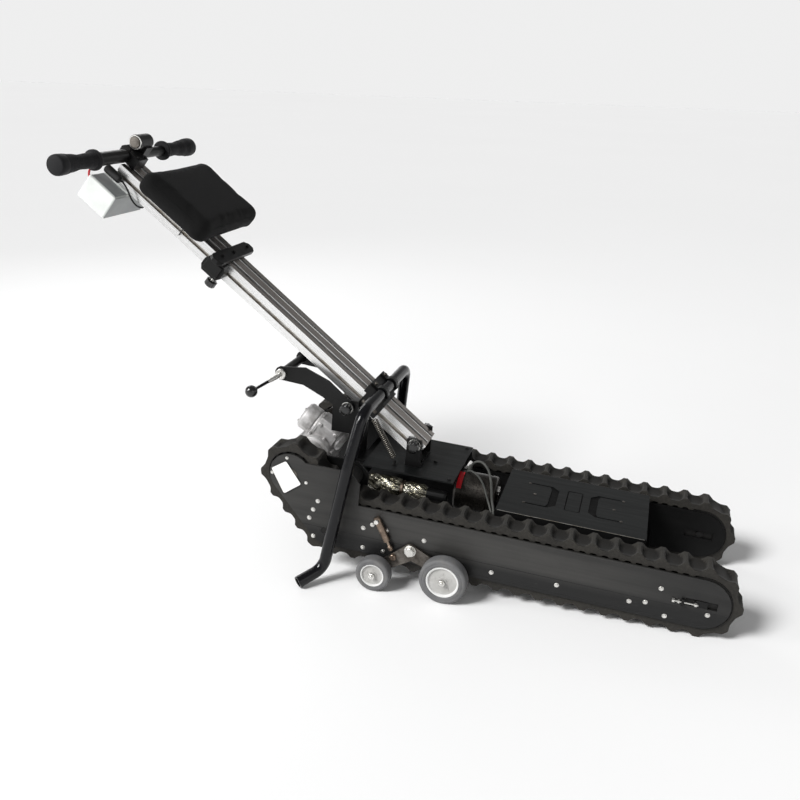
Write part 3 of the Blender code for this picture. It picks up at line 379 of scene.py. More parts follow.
class Shape:
    """Vertices and faces being gathered in one drawing frame."""

    def __init__(self, space=CHASSIS):
        self.space, self.points, self.faces = space, [], []

    def add(self, points, faces):
        start = len(self.points)
        self.points += [self.space @ Vector(p) for p in points]
        self.faces += [tuple(start + i for i in face) for face in faces]
        return self

    def lathe(self, profile, place, axis, steps=32, lobes=0):
        """Turns (radius, height) pairs about an axis; a radius of 0 closes the end, lobes flute the rim."""
        turn = Vector((0, 0, 1)).rotation_difference(Vector(axis).normalized()).to_matrix()
        place, rings, points, rim = Vector(place), [], [], 0.9 * max(r for r, _ in profile)
        for radius, height in profile:
            count = 1 if radius == 0 else steps
            rings.append([len(points) + i for i in range(count)])
            for i in range(count):
                a = math.tau * i / steps
                reach = radius * (1 + (0.05 * math.cos(lobes * a) if lobes and radius > rim else 0))
                points.append(place + turn @ Vector((reach * math.cos(a), reach * math.sin(a), height)))
        faces = []
        for low, high in zip(rings, rings[1:]):
            for i in range(steps):
                j = (i + 1) % steps
                if len(low) == 1 and len(high) == 1:
                    continue
                if len(low) == 1:
                    faces.append((low[0], high[j], high[i]))
                elif len(high) == 1:
                    faces.append((low[i], low[j], high[0]))
                else:
                    faces.append((low[i], low[j], high[j], high[i]))
        return self.add(points, faces)

    def tube(self, route, radius, steps=16, closed_ends=True):
        """A round tube along points; radius is a number or one per point."""
        route = [Vector(p) for p in route]
        radii = radius if isinstance(radius, (list, tuple)) else [radius] * len(route)
        headings = [(route[min(i + 1, len(route) - 1)] - route[max(i - 1, 0)]).normalized()
            for i in range(len(route))]
        side, points = headings[0].orthogonal().normalized(), []
        for i, (spot, heading) in enumerate(zip(route, headings)):
            side = (side - heading * side.dot(heading)).normalized()
            other = heading.cross(side)
            for k in range(steps):
                a = math.tau * k / steps
                points.append(spot + (side * math.cos(a) + other * math.sin(a)) * radii[i])
        return self.sleeve(points, steps, closed_ends)

    def sleeve(self, points, steps, closed_ends=True):
        """Joins rings of points, each with the same number of steps, into a skin."""
        faces = [(low + k, low + (k + 1) % steps, low + steps + (k + 1) % steps, low + steps + k)
            for low in range(0, len(points) - steps, steps) for k in range(steps)]
        if closed_ends:
            faces += [tuple(reversed(range(steps))), tuple(range(len(points) - steps, len(points)))]
        return self.add(points, faces)

    def prism(self, outline, low, high, plane="xz"):
        """A flat outline extruded along the third axis, from low to high."""
        order = {"xz": lambda a, b, c: (a, c, b), "xy": lambda a, b, c: (a, b, c),
            "yz": lambda a, b, c: (c, a, b)}[plane]
        n = len(outline)
        points = [order(a, b, low) for a, b in outline] + [order(a, b, high) for a, b in outline]
        faces = [(i, (i + 1) % n, n + (i + 1) % n, n + i) for i in range(n)]
        faces += [tuple(reversed(range(n))), tuple(range(n, 2 * n))]
        return self.add(points, faces)

    def block(self, corner, opposite):
        (a, d), (b, e), (c, f) = (sorted(pair) for pair in zip(corner, opposite))
        return self.prism([(a, b), (d, b), (d, e), (a, e)], c, f, "xy")

    def make(self, name, material, body="chassis", bevel=0, smooth=40, segments=2, slot=None, stands_for=None):
        """The finished object, riding on its body; the CAD node that it stands for, if any, is hidden. The slot
        argument is not used."""
        mesh = bpy.data.meshes.new(name)
        mesh.from_pydata(self.points, [], self.faces)
        bm = bmesh.new()
        bm.from_mesh(mesh)
        bmesh.ops.recalc_face_normals(bm, faces=bm.faces)
        bm.to_mesh(mesh)
        bm.free()
        obj = place_object(name, mesh)
        if bevel:
            trim = obj.modifiers.new("edges", "BEVEL")
            trim.width, trim.segments, trim.limit_method = bevel, segments, "ANGLE"
            trim.angle_limit = math.radians(35)
        mesh.shade_smooth()
        mesh.set_sharp_from_angle(angle=math.radians(smooth))
        settle(obj, material, body)
        if stands_for:
            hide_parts(stands_for)
        return obj


def settle(obj, material, body):
    """Gives an object its material and body."""
    obj.data.materials.clear()
    obj.data.materials.append(material)
    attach(obj, body)
    return obj


def drum(radius, low, high):
    return [(0, low), (radius, low), (radius, high), (0, high)]


def washer(inner, outer, low, high):
    return [(inner, low), (outer, low), (outer, high), (inner, high), (inner, low)]


def above_ground(x, radius):
    """Height at which something round rests on the ground, which slopes in the chassis frame."""
    return GROUND_SLOPE * (x - FRONT_X) + radius * math.sqrt(1 + GROUND_SLOPE ** 2)


def mirrored(profile):
    """A closed profile made of its upper half and the same half reflected in the middle plane."""
    return profile + [(radius, -height) for radius, height in reversed(profile)] + profile[:1]


def hexagon(x, y, radius, spin=0):
    return [(x + radius * math.cos(spin + i * math.pi / 3), y + radius * math.sin(spin + i * math.pi / 3))
        for i in range(6)]


def dome(shape, place, axis, radius, height=None):
    """A domed bolt head with a thin washer."""
    height = height or radius * 0.75
    shape.lathe([(0, 0), (radius * 1.25, 0), (radius * 1.25, 0.0006), (radius, 0.0008), (radius, height * 0.45),
        (radius * 0.86, height * 0.8), (radius * 0.5, height * 0.97), (0, height)], place, axis, 20)


def cap_screw(shape, place, axis, radius, height):
    """A socket cap screw: knurled drum with a hexagon socket."""
    shape.lathe([(0, 0), (radius, 0), (radius, height * 0.9), (radius * 0.9, height), (radius * 0.55, height),
        (radius * 0.52, height * 0.45), (0, height * 0.45)], place, axis, 18)


def fillet(corners, radius, steps=10):
    """Points along straight runs joined by arcs."""
    corners = [Vector(c) for c in corners]
    points = [corners[0]]
    for before, corner, after in zip(corners, corners[1:], corners[2:]):
        enter, leave = (before - corner).normalized(), (after - corner).normalized()
        half = enter.angle(leave) / 2
        reach = radius / math.tan(half)
        centre = corner + (enter + leave).normalized() * (radius / math.sin(half))
        start = corner + enter * reach - centre
        normal = start.cross(corner + leave * reach - centre).normalized()
        side = normal.cross(start)
        for i in range(steps + 1):
            turn = (math.pi - 2 * half) * i / steps
            points.append(centre + start * math.cos(turn) + side * math.sin(turn))
    points.append(corners[-1])
    return points


def smooth_route(points, per=8):
    """A Catmull-Rom curve through points."""
    pts = [Vector(p) for p in points]
    pts = [pts[0] * 2 - pts[1]] + pts + [pts[-1] * 2 - pts[-2]]
    out = []
    for a, b, c, d in zip(pts, pts[1:], pts[2:], pts[3:]):
        for i in range(per):
            t = i / per
            out.append(0.5 * (2 * b + (c - a) * t + (2 * a - 5 * b + 4 * c - d) * t * t
                + (3 * b - a - 3 * c + d) * t ** 3))
    return out + [pts[-2]]


# ---------------------------------------------------------------- camera
def camera():
    """The photograph's viewpoint."""
    right = Vector((0.95973, 0.2793, 0.03014)).normalized()
    ahead = Vector((-0.2527, 0.9052, -0.34171)).normalized()
    up = right.cross(ahead).normalized()
    right = ahead.cross(up)
    data = bpy.data.cameras.new("camera")
    data.lens, data.sensor_width = 40.85, 36
    data.clip_start, data.clip_end = 0.05, 60
    obj = place_object("camera", data)
    turn = Matrix((right, up, -ahead)).transposed().to_4x4()
    obj.matrix_world = Matrix.Translation((0.5558, -2.042, 1.1662)) @ turn
    bpy.context.scene.camera = obj


# ---------------------------------------------------------------- belts
def tangent_angle(first, second):
    (c1, r1), (c2, r2) = first, second
    gap = Vector(c2) - Vector(c1)
    return math.atan2(gap.y, gap.x) - math.asin((r2 - r1) / gap.length)


def belt_track():
    """The belt's inner line as straight and curved pieces."""
    n = len(CIRCLES)
    angles = [tangent_angle(CIRCLES[i], CIRCLES[(i + 1) % n]) for i in range(n)]
    pieces = []
    for i, (centre, radius) in enumerate(CIRCLES):
        turn = (angles[i] - angles[i - 1] + math.pi) % math.tau - math.pi
        if radius > 0 and turn < 0:
            turn += math.tau
        pieces.append((abs(radius * turn), Vector(centre), radius, angles[i - 1], turn))
        far, far_radius = CIRCLES[(i + 1) % n]
        outward = Vector((math.sin(angles[i]), -math.cos(angles[i])))
        start, stop = Vector(centre) + outward * radius, Vector(far) + outward * far_radius
        pieces.append(((stop - start).length, start, 0, angles[i], 0))
    return pieces


def on_belt(pieces, distance):
    """Point, outward direction and whether the run has inner teeth, at a distance round the belt."""
    for length, point, radius, angle, turn in pieces:
        if distance <= length:
            break
        distance -= length
    if radius:
        angle += turn * distance / length
        outward = Vector((math.sin(angle), -math.cos(angle)))
        return point + outward * radius, outward, False
    heading = Vector((math.cos(angle), math.sin(angle)))
    toothed = TOOTHLESS_END < distance < length - TOOTHLESS_END
    return point + heading * distance, Vector((heading.y, -heading.x)), toothed


PHASES = (0, 0.05, 0.085, 0.12, 0.16, 0.24, 0.33, 0.42, 0.5, 0.58, 0.67, 0.76, 0.84, 0.88, 0.915, 0.95)


def lug_height(phase, across):
    """Height of the tread: steep narrow lugs that flare at the belt's edges and close its pockets."""
    away = abs((phase + 0.5) % 1 - 0.5)
    edge = min(1, max(0, (across - 0.45) / 0.5))
    crest, foot, floor = 0.06 + 0.05 * edge, 0.17 + 0.21 * edge, 0.08 + 0.16 * edge
    slope = min(1, max(0, (away - crest) / (foot - crest)))
    return floor + (1 - floor) * (1 - slope) ** (1 + 0.5 * edge)


def belts():
    """Both belts, with lugs outside and small teeth inside their straight runs."""
    pieces = belt_track()
    total = sum(p[0] for p in pieces)
    lugs = round(total / LUG_PITCH)
    across = [-1, -0.955, -0.78, -0.6, -0.42, 0, 0.42, 0.6, 0.78, 0.955, 1]
    ring = len(across) + 2
    stations = [(lug + phase, phase) for lug in range(lugs) for phase in PHASES]
    for side, sign in SIDES.items():
        points, heights = [], []
        for lug, phase in stations:
            spot, outward, toothed = on_belt(pieces, total * lug / lugs)
            heights.append([lug_height(phase, abs(w)) for w in across])
            for w, share in zip(across, heights[-1]):
                height = BELT_BASE + LUG_HEIGHT * share - (EDGE_DROP if abs(w) == 1 else 0)
                p = spot + outward * height
                points.append((p.x, sign * BELT_MID_Y + w * BELT_HALF, p.y))
            tooth = toothed and 0.15 < (2 * phase) % 1 < 0.65
            p = spot - outward * (TOOTH_DEPTH if tooth else 0)
            points += [(p.x, sign * BELT_MID_Y + BELT_HALF, p.y), (p.x, sign * BELT_MID_Y - BELT_HALF, p.y)]
        count, faces, pockets = len(stations), [], []
        for i in range(count):
            j = (i + 1) % count
            for k in range(ring):
                q = (k + 1) % ring
                faces.append((i * ring + k, i * ring + q, j * ring + q, j * ring + k))
                tread = k < len(across) - 1
                pockets.append(tread and max(heights[i][k], heights[i][k + 1], heights[j][k],
                    heights[j][k + 1]) < 0.5)
        belt = Shape().add(points, faces).make(f"{side}_tread_belt", BELT, smooth=38)
        # Painted shade: faces low in the pockets between the lugs take the darker rubber.
        belt.data.materials.append(POCKET_SHADE)
        for face, pocket in zip(belt.data.polygons, pockets):
            face.material_index = int(pocket)
        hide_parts(f"{side}_track_belt")


# ---------------------------------------------------------------- side plates
PLATE_BOLTS = [(-0.5795, 0.1373), (-0.5902, 0.1124), (-0.5991, 0.0882), (-0.5864, 0.0412), (-0.4612, 0.0924),
    (-0.4588, 0.0402), (-0.3108, 0.0936), (-0.1445, 0.0498), (0.0069, 0.0553), (0.1696, 0.0558),
    (0.2039, 0.0625), (0.2313, 0.1046), (0.2499, 0.0385), (0.3375, 0.064), (-0.4395, 0.106), (-0.404, 0.0985),
    (-0.4078, 0.0411)]
TAG_CORNERS = [(-0.701, 0.201), (-0.6645, 0.226), (-0.6235, 0.1735), (-0.666, 0.14)]
ROCKER = (-0.3393, 0.0641)


def plate_hardware():
    """Bolts, belt tensioners, pivot bolt heads and the blank tag."""
    for side, sign in SIDES.items():
        out = (0, sign, 0)
        bolts = Shape()
        for x, z in PLATE_BOLTS:
            dome(bolts, (x, sign * PLATE_FACE, z), out, 0.0044)
        bolts.lathe([(0, 0.0215), (0.0058, 0.0215), (0.0064, 0.0205), (0.0064, 0.015), (0, 0.015)],
            (-0.4252, sign * PLATE_FACE, 0.1256), out, 6)
        bolts.make(f"{side}_plate_bolts", BOLT)
        tension = Shape()
        y = sign * (PLATE_FACE + 0.0035)
        tension.lathe(drum(0.0021, 0, 0.052), (0.262, y, 0.085), (1, 0, 0), 12)
        for start, long, radius in ((0.258, 0.005, 0.0052), (0.27, 0.004, 0.0048), (0.306, 0.005, 0.0048)):
            tension.lathe(drum(radius, 0, long), (start, y, 0.085), (1, 0, 0), 6)
        tension.make(f"{side}_tension_screw", BOLT)
        bracket = Shape()
        bracket.block((0.278, sign * PLATE_FACE, 0.0765), (0.284, sign * (PLATE_FACE + 0.0085), 0.094))
        bracket.block((0.308, sign * (PLATE_FACE + 0.0002), 0.079), (0.334, sign * (PLATE_FACE + 0.002), 0.095))
        bracket.make(f"{side}_tension_block", BLACK, bevel=0.0006)
        head = Shape()
        x, z = ROCKER
        base, top = sign * 0.2138, sign * 0.2232
        head.prism(hexagon(x, z, 0.0124, 0.3), base, top)
        head.lathe([(0, 0), (0.0098, 0), (0.009, 0.0009), (0, 0.0009)], (x, top, z), out, 24)
        head.lathe(washer(0.0108, 0.0145, 0, 0.0013), (x, sign * 0.2137, z), out, 28)
        head.make(f"{side}_pivot_head", BOLT, bevel=0.0006)
        Shape().lathe(washer(0.0106, 0.018, 0, 0.0012), (DRIVE.x, sign * (PLATE_FACE + 0.0001), DRIVE.z), out,
            32).make(f"{side}_axle_washer", DARK_STEEL, bevel=0.0003)
    corners = [Vector((x, 0, z)) for x, z in TAG_CORNERS]
    loop = [corners[3].lerp(corners[0], 0.5)] + corners + [corners[3].lerp(corners[0], 0.5)]
    outline = [(p.x, p.z) for p in fillet(loop, 0.0045, 5)[:-1]]
    tag = Shape().prism(outline, -PLATE_FACE - 0.0034, -PLATE_FACE - 0.0024)
    tag.make("blank_tag_plate", TAG, bevel=0.0003)
    screws = Shape()
    for x, z, y in ((-0.6985, 0.19, 0.0034), (-0.6635, 0.2335, 0), (-0.612, 0.179, 0)):
        dome(screws, (x, -PLATE_FACE - y, z), (0, -1, 0), 0.0033)
    screws.make("tag_screws", BOLT)
    pad = Shape().prism([(x * 0.94 - 0.0395, z * 0.94 + 0.011) for x, z in outline], -PLATE_FACE - 0.0023,
        -PLATE_FACE - 0.0001)
    pad.make("tag_backing", BLACK, bevel=0.0003)


# ---------------------------------------------------------------- wheels
def wheels():
    """Bogie wheels: grey tyre, pale dished hub with a ring, and a centre screw."""
    places = {"large": (-0.2476, 0.057), "small": (-0.4164, 0.042)}
    for side, sign in SIDES.items():
        for size, (x, r) in places.items():
            z, y, out, half = above_ground(x, r), sign * WHEEL_Y, (0, sign, 0), 0.0165
            centre, rim, body = (x, y, z), r * 0.69, f"{side}_{size}_wheel_body"
            tyre = Shape().lathe([(rim, -half + 0.0015), (rim + 0.0015, -half), (r - 0.0085, -half),
                (r - 0.004, -half + 0.0008), (r - 0.0012, -half + 0.003), (r - 0.0002, -half + 0.006),
                (r, -0.0035), (r, 0.0035), (r - 0.0002, half - 0.006), (r - 0.0012, half - 0.003),
                (r - 0.004, half - 0.0008), (r - 0.0085, half), (r - 0.0095, half - 0.0006), (r - 0.0105, half),
                (rim + 0.0015, half), (rim, half - 0.0015), (rim, -half + 0.0015)], centre, out, 72)
            tyre = tyre.make(f"{side}_{size}_tyre", TYRE, body, smooth=60)
            hub = Shape()
            hub.lathe([(0.0056, half - 0.003), (0.0105, half - 0.003), (0.0112, half - 0.0046),
                (rim * 0.86, half - 0.0052), (rim * 0.86, -half + 0.0052), (0.0112, -half + 0.0046),
                (0.0056, -half + 0.003), (0.0056, half - 0.003)], centre, out, 64)
            for k in range(5):
                a = math.tau * k / 5 + 0.4
                spoke = rim * 0.52
                hub.lathe([(0, half - 0.0053), (0.0034, half - 0.0053), (0.003, half - 0.004),
                    (0, half - 0.004)], (x + spoke * math.cos(a), y, z + spoke * math.sin(a)), out, 14)
            hub.make(f"{side}_{size}_hub", HUB, body, smooth=35)
            ring = Shape().lathe(mirrored([(rim * 0.855, half - 0.005), (rim * 0.89, half - 0.0012),
                (rim * 0.93, half - 0.0004), (rim - 0.0008, half - 0.0004), (rim, half - 0.0016)]), centre, out,
                64)
            ring.make(f"{side}_{size}_rim", RIM, body, smooth=35)
            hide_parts(f"{side}_{size}_wheel")
            end = Shape()
            face = WHEEL_Y + half
            end.prism(hexagon(x, z, 0.0078, 0.2), sign * (face + 0.0004), sign * (face + 0.0046))
            end.lathe([(0, 0.0046), (0.004, 0.0046), (0.004, 0.0078), (0.003, 0.0088), (0, 0.0088)],
                (x, sign * (face + 0.0002), z), out, 16)
            end.make(f"{side}_{size}_axle_nut", BOLT, f"{side}_rocker", 0.0005)
        knuckle = Shape().lathe([(0, -0.0035), (0.007, -0.0035), (0.0078, -0.0025), (0.0078, 0.004),
            (0.0068, 0.005), (0, 0.005)], (-0.379, sign * 0.215, 0.0385), (0, sign, 0), 28)
        knuckle.make(f"{side}_strut_knuckle", BRONZED, f"{side}_rocker")


# ---------------------------------------------------------------- decks
def rounded_loop(corners, radius, steps=6):
    pts = [Vector((x, y, 0)) for x, y in corners]
    middle = (pts[-1] + pts[0]) / 2
    return [(p.x, p.y) for p in fillet([middle] + pts + [middle], radius, steps)[:-1]]


def sheet_plate(name, loops, thickness):
    """A flat sheet with holes on the deck: a filled curve in the drawing frame's xy plane."""
    curve = bpy.data.curves.new(name, "CURVE")
    curve.dimensions, curve.fill_mode, curve.extrude = "2D", "BOTH", thickness / 2
    curve.bevel_depth, curve.bevel_resolution, curve.offset = 0.0003, 1, -0.0003
    for loop in loops:
        spline = curve.splines.new("POLY")
        spline.points.add(len(loop) - 1)
        for point, (x, y) in zip(spline.points, loop):
            point.co = (x, y, 0, 1)
        spline.use_cyclic_u = True
    obj = place_object(name + "_curve", curve)
    mesh = bpy.data.meshes.new_from_object(obj.evaluated_get(bpy.context.evaluated_depsgraph_get()))
    bpy.data.objects.remove(obj)
    mesh.transform(CHASSIS @ Matrix.Translation((0, 0, DECK_TOP + 0.0003 + thickness / 2)))
    mesh.set_sharp_from_angle(angle=math.radians(30))
    return settle(place_object(name, mesh), DECK, "chassis")


def front_deck():
    """A pressed cover on the deck: two handle recesses and a window, cut through, with screws."""
    outer = rounded_loop([(DECK_LOW_X, -0.122), (DECK_HIGH_X, -0.122), (DECK_HIGH_X, 0.122),
        (DECK_LOW_X, 0.122)], 0.004)

    def handle(inner, outer_x):
        way, arm, band = (1 if outer_x > inner else -1), 0.0052, 0.019
        return rounded_loop([(inner, -0.06), (outer_x - way * 0.018, -0.06), (outer_x, -0.042),
            (outer_x, 0.042), (outer_x - way * 0.018, 0.06), (inner, 0.06), (inner, 0.06 - arm),
            (outer_x - way * (0.018 + arm), 0.06 - arm), (outer_x - way * band, 0.04),
            (outer_x - way * band, -0.04), (outer_x - way * (0.018 + arm), -0.06 + arm), (inner, -0.06 + arm)],
            0.0022, 3)

    hole, window = (rounded_loop([(low, -wide), (high, -wide), (high, wide), (low, wide)], radius)
        for low, high, wide, radius in ((-0.012, 0.026, 0.055, 0.006), (-0.0095, 0.0235, 0.0525, 0.004)))
    sheet_plate("deck_cover", [outer, handle(-0.105, -0.033), handle(0.12, 0.045), hole], 0.0016)
    sheet_plate("deck_window", [window], 0.0012)
    # Painted highlight: thin bright zinc rods along the cover's two long edges.
    edge = Shape()
    for y in (-0.1222, 0.1222):
        edge.tube([(DECK_LOW_X + 0.004, y, DECK_TOP + 0.0014), (DECK_HIGH_X - 0.004, y, DECK_TOP + 0.0014)],
            0.0007, 8)
    edge.make("deck_edge_highlight", ZINC)
    screws = Shape()
    for x, y in ((-0.088, 0), (0.104, 0), (-0.108, 0.056), (-0.108, -0.056), (0.124, 0.056), (0.124, -0.056)):
        dome(screws, (x, y, DECK_TOP + 0.0019), (0, 0, 1), 0.003, 0.0016)
    screws.make("deck_screws", DARK_STEEL)


def base_details():
    """Screws round the mast's base plate and bracket."""
    screws = Shape()
    for x, y in ((-0.29, -0.086), (-0.29, 0.118), (-0.496, 0.118), (-0.4, 0.118), (-0.345, 0)):
        dome(screws, (x, y, BASE_TOP + 0.0002), (0, 0, 1), 0.0042)
    for x in (-0.412, -0.374):
        for y in (-0.026, 0.026):
            cap_screw(screws, (x, y, BASE_TOP + 0.0064), (0, 0, 1), 0.0042, 0.0046)
    screws.make("base_screws", ROLLER)


# ---------------------------------------------------------------- drive and motors
def gearbox():
    """Cast worm gearbox: round body with ribs and screws, worm housing with its round cap."""
    worm = Vector((math.cos(math.radians(28)), 0, -math.sin(math.radians(28))))
    middle = Vector((-0.64, -0.02, 0.247))
    body = Shape()
    body.lathe([(0.0112, -0.034), (0.03, -0.034), (0.034, -0.03), (0.045, -0.028), (0.05, -0.022),
        (0.05, 0.066), (0.046, 0.072), (0.04, 0.074), (0.04, 0.079), (0.038, 0.091), (0.026, 0.092),
        (0.024, 0.086), (0.014, 0.086), (0.0112, 0.088), (0.0112, -0.034)], DRIVE, (0, -1, 0), 56)
    for k in range(8):
        a = math.tau * k / 8 + 0.2
        rib = Vector((math.cos(a), 0, math.sin(a)))
        p = DRIVE + rib * 0.0515
        body.tube([p + Vector((0, 0.02, 0)), p + Vector((0, -0.064, 0))], 0.0042, 8)
    body.make("gearbox_body", CAST, bevel=0.001, stands_for="drive_gearbox")
    housing = Shape()
    housing.lathe([(0, -0.062), (0.029, -0.062), (0.034, -0.058), (0.036, -0.054), (0.036, -0.026),
        (0.034, -0.0245), (0.034, -0.0215), (0.036, -0.02), (0.036, -0.012), (0.03, -0.01), (0, -0.01)], middle,
        worm, 56)
    housing.lathe([(0, 0.04), (0.03, 0.04), (0.031, 0.054), (0.024, 0.062), (0.02, 0.064), (0, 0.064)], middle,
        worm, 48)
    housing.make("worm_housing", CAST, bevel=0.001)
    across, up = Vector((0, -1, 0)), Vector((-worm.z, 0, worm.x))
    casing = CHASSIS @ (Matrix.Translation(middle) @ Matrix((worm, -across, up)).transposed().to_4x4())
    block, half, clip = Shape(casing), 0.0335, 0.011
    block.prism([(-half, -half + clip), (-half + clip, -half), (half - clip, -half), (half, -half + clip),
        (half, half - clip), (half - clip, half), (-half + clip, half), (-half, half - clip)], -0.016, 0.046,
        "yz")
    for x in (-0.008, 0.038):
        for z in (-0.02, 0.02):
            block.lathe([(0, 0), (0.0062, 0), (0.0058, 0.0045), (0, 0.0045)], (x, -half + 0.0005, z),
                (0, -1, 0), 20)
    block.make("gear_casing", CAST, bevel=0.003, segments=3)
    screws = Shape()
    for k in range(6):
        a = math.tau * k / 6 + 0.5
        spot = DRIVE + Vector((math.cos(a) * 0.0315, -0.0915, math.sin(a) * 0.0315))
        cap_screw(screws, spot, across, 0.0036, 0.004)
    side = worm.cross(across).normalized()
    for k in range(4):
        a = math.tau * k / 4 + 0.6
        spot = middle - worm * 0.0618 + (across * math.cos(a) + side * math.sin(a)) * 0.025
        cap_screw(screws, spot, -worm, 0.003, 0.003)
    screws.make("gearbox_screws", BOLT)


def motors():
    """Tilt motor with its red band and leads, and the film-wrapped actuator."""
    x, y, z = -0.2325, 0, 0.144
    shell = Shape().lathe([(0, 0.054), (0.012, 0.054), (0.013, 0.052), (0.04, 0.052), (0.047, 0.049),
        (0.0498, 0.045), (0.0498, 0.034), (0.0486, 0.0335), (0.0486, 0.0315), (0.0499, 0.031), (0.0499, -0.03),
        (0.0486, -0.0305), (0.0486, -0.0325), (0.0498, -0.033), (0.0498, -0.046), (0.044, -0.052),
        (0.014, -0.053), (0, -0.053)], (x, y, z), (1, 0, 0), 72)
    shell.make("tilt_motor_shell", MOTOR, stands_for="tilt_motor")
    band = Shape()
    points, faces, steps = [], [], 14
    for i in range(steps + 1):
        a = math.radians(28 + 58 * i / steps)
        for along in (-0.046, -0.0335):
            for radius in (0.05, 0.0509):
                points.append((x + along, -math.cos(a) * radius, z + math.sin(a) * radius))
    for i in range(steps):
        p, q = 4 * i, 4 * i + 4
        faces += [(p, q, q + 1, p + 1), (p + 2, p + 3, q + 3, q + 2), (p, p + 2, q + 2, q),
            (p + 1, q + 1, q + 3, p + 3)]
    faces += [(0, 1, 3, 2), (4 * steps, 4 * steps + 2, 4 * steps + 3, 4 * steps + 1)]
    band.add(points, faces).make("motor_red_band", RED, slot="black_plastic")
    fitting = Shape().lathe([(0.0045, 0), (0.0105, 0), (0.0105, 0.0045), (0.009, 0.006), (0.0055, 0.006),
        (0.0045, 0.005), (0.0045, 0)], (x + 0.0522, -0.004, 0.163), (1, 0, 0), 32)
    fitting.make("motor_end_fitting", BOLT, bevel=0.0003)
    wires = Shape()
    wires.tube(smooth_route([(-0.262, 0.028, 0.19), (-0.252, 0.026, 0.211), (-0.232, 0.018, 0.22),
        (-0.212, 0, 0.213), (-0.199, -0.024, 0.2), (-0.189, -0.056, 0.187), (-0.18, -0.09, 0.176),
        (-0.171, -0.112, 0.164), (-0.1685, -0.118, 0.154)]), 0.003, 14)
    wires.tube(smooth_route([(-0.262, 0.004, 0.1945), (-0.25, -0.004, 0.2005), (-0.23, -0.02, 0.1975),
        (-0.212, -0.045, 0.19), (-0.197, -0.075, 0.179), (-0.184, -0.1, 0.168), (-0.1745, -0.116, 0.156)]),
        0.0024, 14)
    wires.make("motor_leads", WIRE)
    boot = Shape().lathe([(0, 0), (0.0085, 0), (0.0066, 0.01), (0.004, 0.02), (0, 0.02)],
        (-0.264, 0.028, 0.183), (0.25, 0, 0.97), 24)
    boot.make("motor_lead_boot", WIRE)
    plug = Shape().prism([(-0.2755, 0.187), (-0.26, 0.187), (-0.259, 0.202), (-0.266, 0.205)], 0.034, 0.05)
    plug.make("motor_plug", TAG, bevel=0.001)
    place, steps, rings = Vector((-0.418, -0.086, 0.156)), 96, 90
    points = []
    for i in range(rings + 1):
        along = -0.076 + 0.154 * i / rings
        end = min(1, (0.5 - abs(i / rings - 0.5)) * 14)
        for k in range(steps):
            a = math.tau * k / steps
            crease = (math.sin(5 * a + 90 * along) * math.sin(150 * along + 2 * math.sin(3 * a)) + 0.6
                * math.sin(11 * a - 210 * along + 1.3 * math.sin(70 * along)))
            radius = (0.0245 + 0.0014 * crease) * (0.72 + 0.28 * end)
            radius *= (1 - 0.16 * math.exp(-((along - 0.016) / 0.006) ** 2)) * (0.86 if along > 0.016 else 1)
            points.append(place + Vector((along, radius * math.cos(a), radius * math.sin(a))))
    Shape().sleeve(points, steps).make("actuator_wrap", FILM, smooth=60, stands_for="actuator_tube")
    tie = Shape()
    tie.lathe([(0.0205, -0.0035), (0.0222, -0.003), (0.0222, 0.003), (0.0205, 0.0035)],
        place + Vector((0.016, 0, 0)), (1, 0, 0), 48)
    tie.make("actuator_tie", BRONZED)


def drive_motor():
    """Dark motor on the gearbox's left face, finned, with its end cap."""
    centre = Vector((-0.622, 0.0735, 0.25))
    profile = [(0, 0.052), (0.01, 0.052), (0.012, 0.05), (0.026, 0.05), (0.034, 0.045), (0.0365, 0.04)]
    for k in range(9):
        along = 0.036 - k * 0.008
        profile += [(0.0366, along), (0.0366, along - 0.004), (0.0335, along - 0.0045), (0.0335, along - 0.0075)]
    profile += [(0.0365, -0.037), (0.0365, -0.038), (0, -0.038)]
    shell = Shape().lathe(profile, centre, (0, 1, 0), 48)
    shell.make("drive_motor_shell", MOTOR, stands_for="drive_motor")


def assist_spring():
    """A close-wound helix with end hooks in place of the CAD's rod."""
    top, low = Vector((-0.4985, -0.0655, 0.3205)), Vector((-0.4349, -0.0655, 0.221))
    axis = (low - top).normalized()
    side = axis.orthogonal().normalized()
    other = axis.cross(side)
    length, turns, radius = (low - top).length - 0.014, 22, 0.0068
    route = []
    for i in range(turns * 12 + 1):
        a = math.tau * i / 12
        route.append(top + axis * (0.007 + length * i / (turns * 12))
            + (side * math.cos(a) + other * math.sin(a)) * radius)
    spring = Shape().tube(route, 0.0014, 8)
    for end, way in ((top, 1), (low, -1)):
        hook = [end + axis * way * (0.0075 - 0.0045 * math.cos(t)) + side * 0.0045 * math.sin(t)
            for t in [math.tau * k / 14 for k in range(13)]]
        spring.tube(hook, 0.001, 8)
    spring.make("coil_spring", SPRING, smooth=80, stands_for="assist_spring")
    post = Shape().lathe([(0, 0.0002), (0.006, 0.0002), (0.006, 0.002), (0.0034, 0.003), (0.0034, 0.013),
        (0, 0.0136)], (low.x, low.y, BASE_TOP), (0, 0, 1), 20)
    post.make("spring_post", ROLLER, smooth=50)


# ---------------------------------------------------------------- levers, cradle, hinge
def knob(name, place, axis, radius, length, body, lobes):
    """A moulded, fluted knob with a domed end."""
    outline = [(0, 0), (0.86, 0), (1, 0.06), (1, 0.78), (0.93, 0.92), (0.72, 0.98), (0, 1)]
    head = Shape(WORLD).lathe([(r * radius, h * length) for r, h in outline], place, axis, 72, lobes)
    head.make(name, KNOB, body, smooth=50)


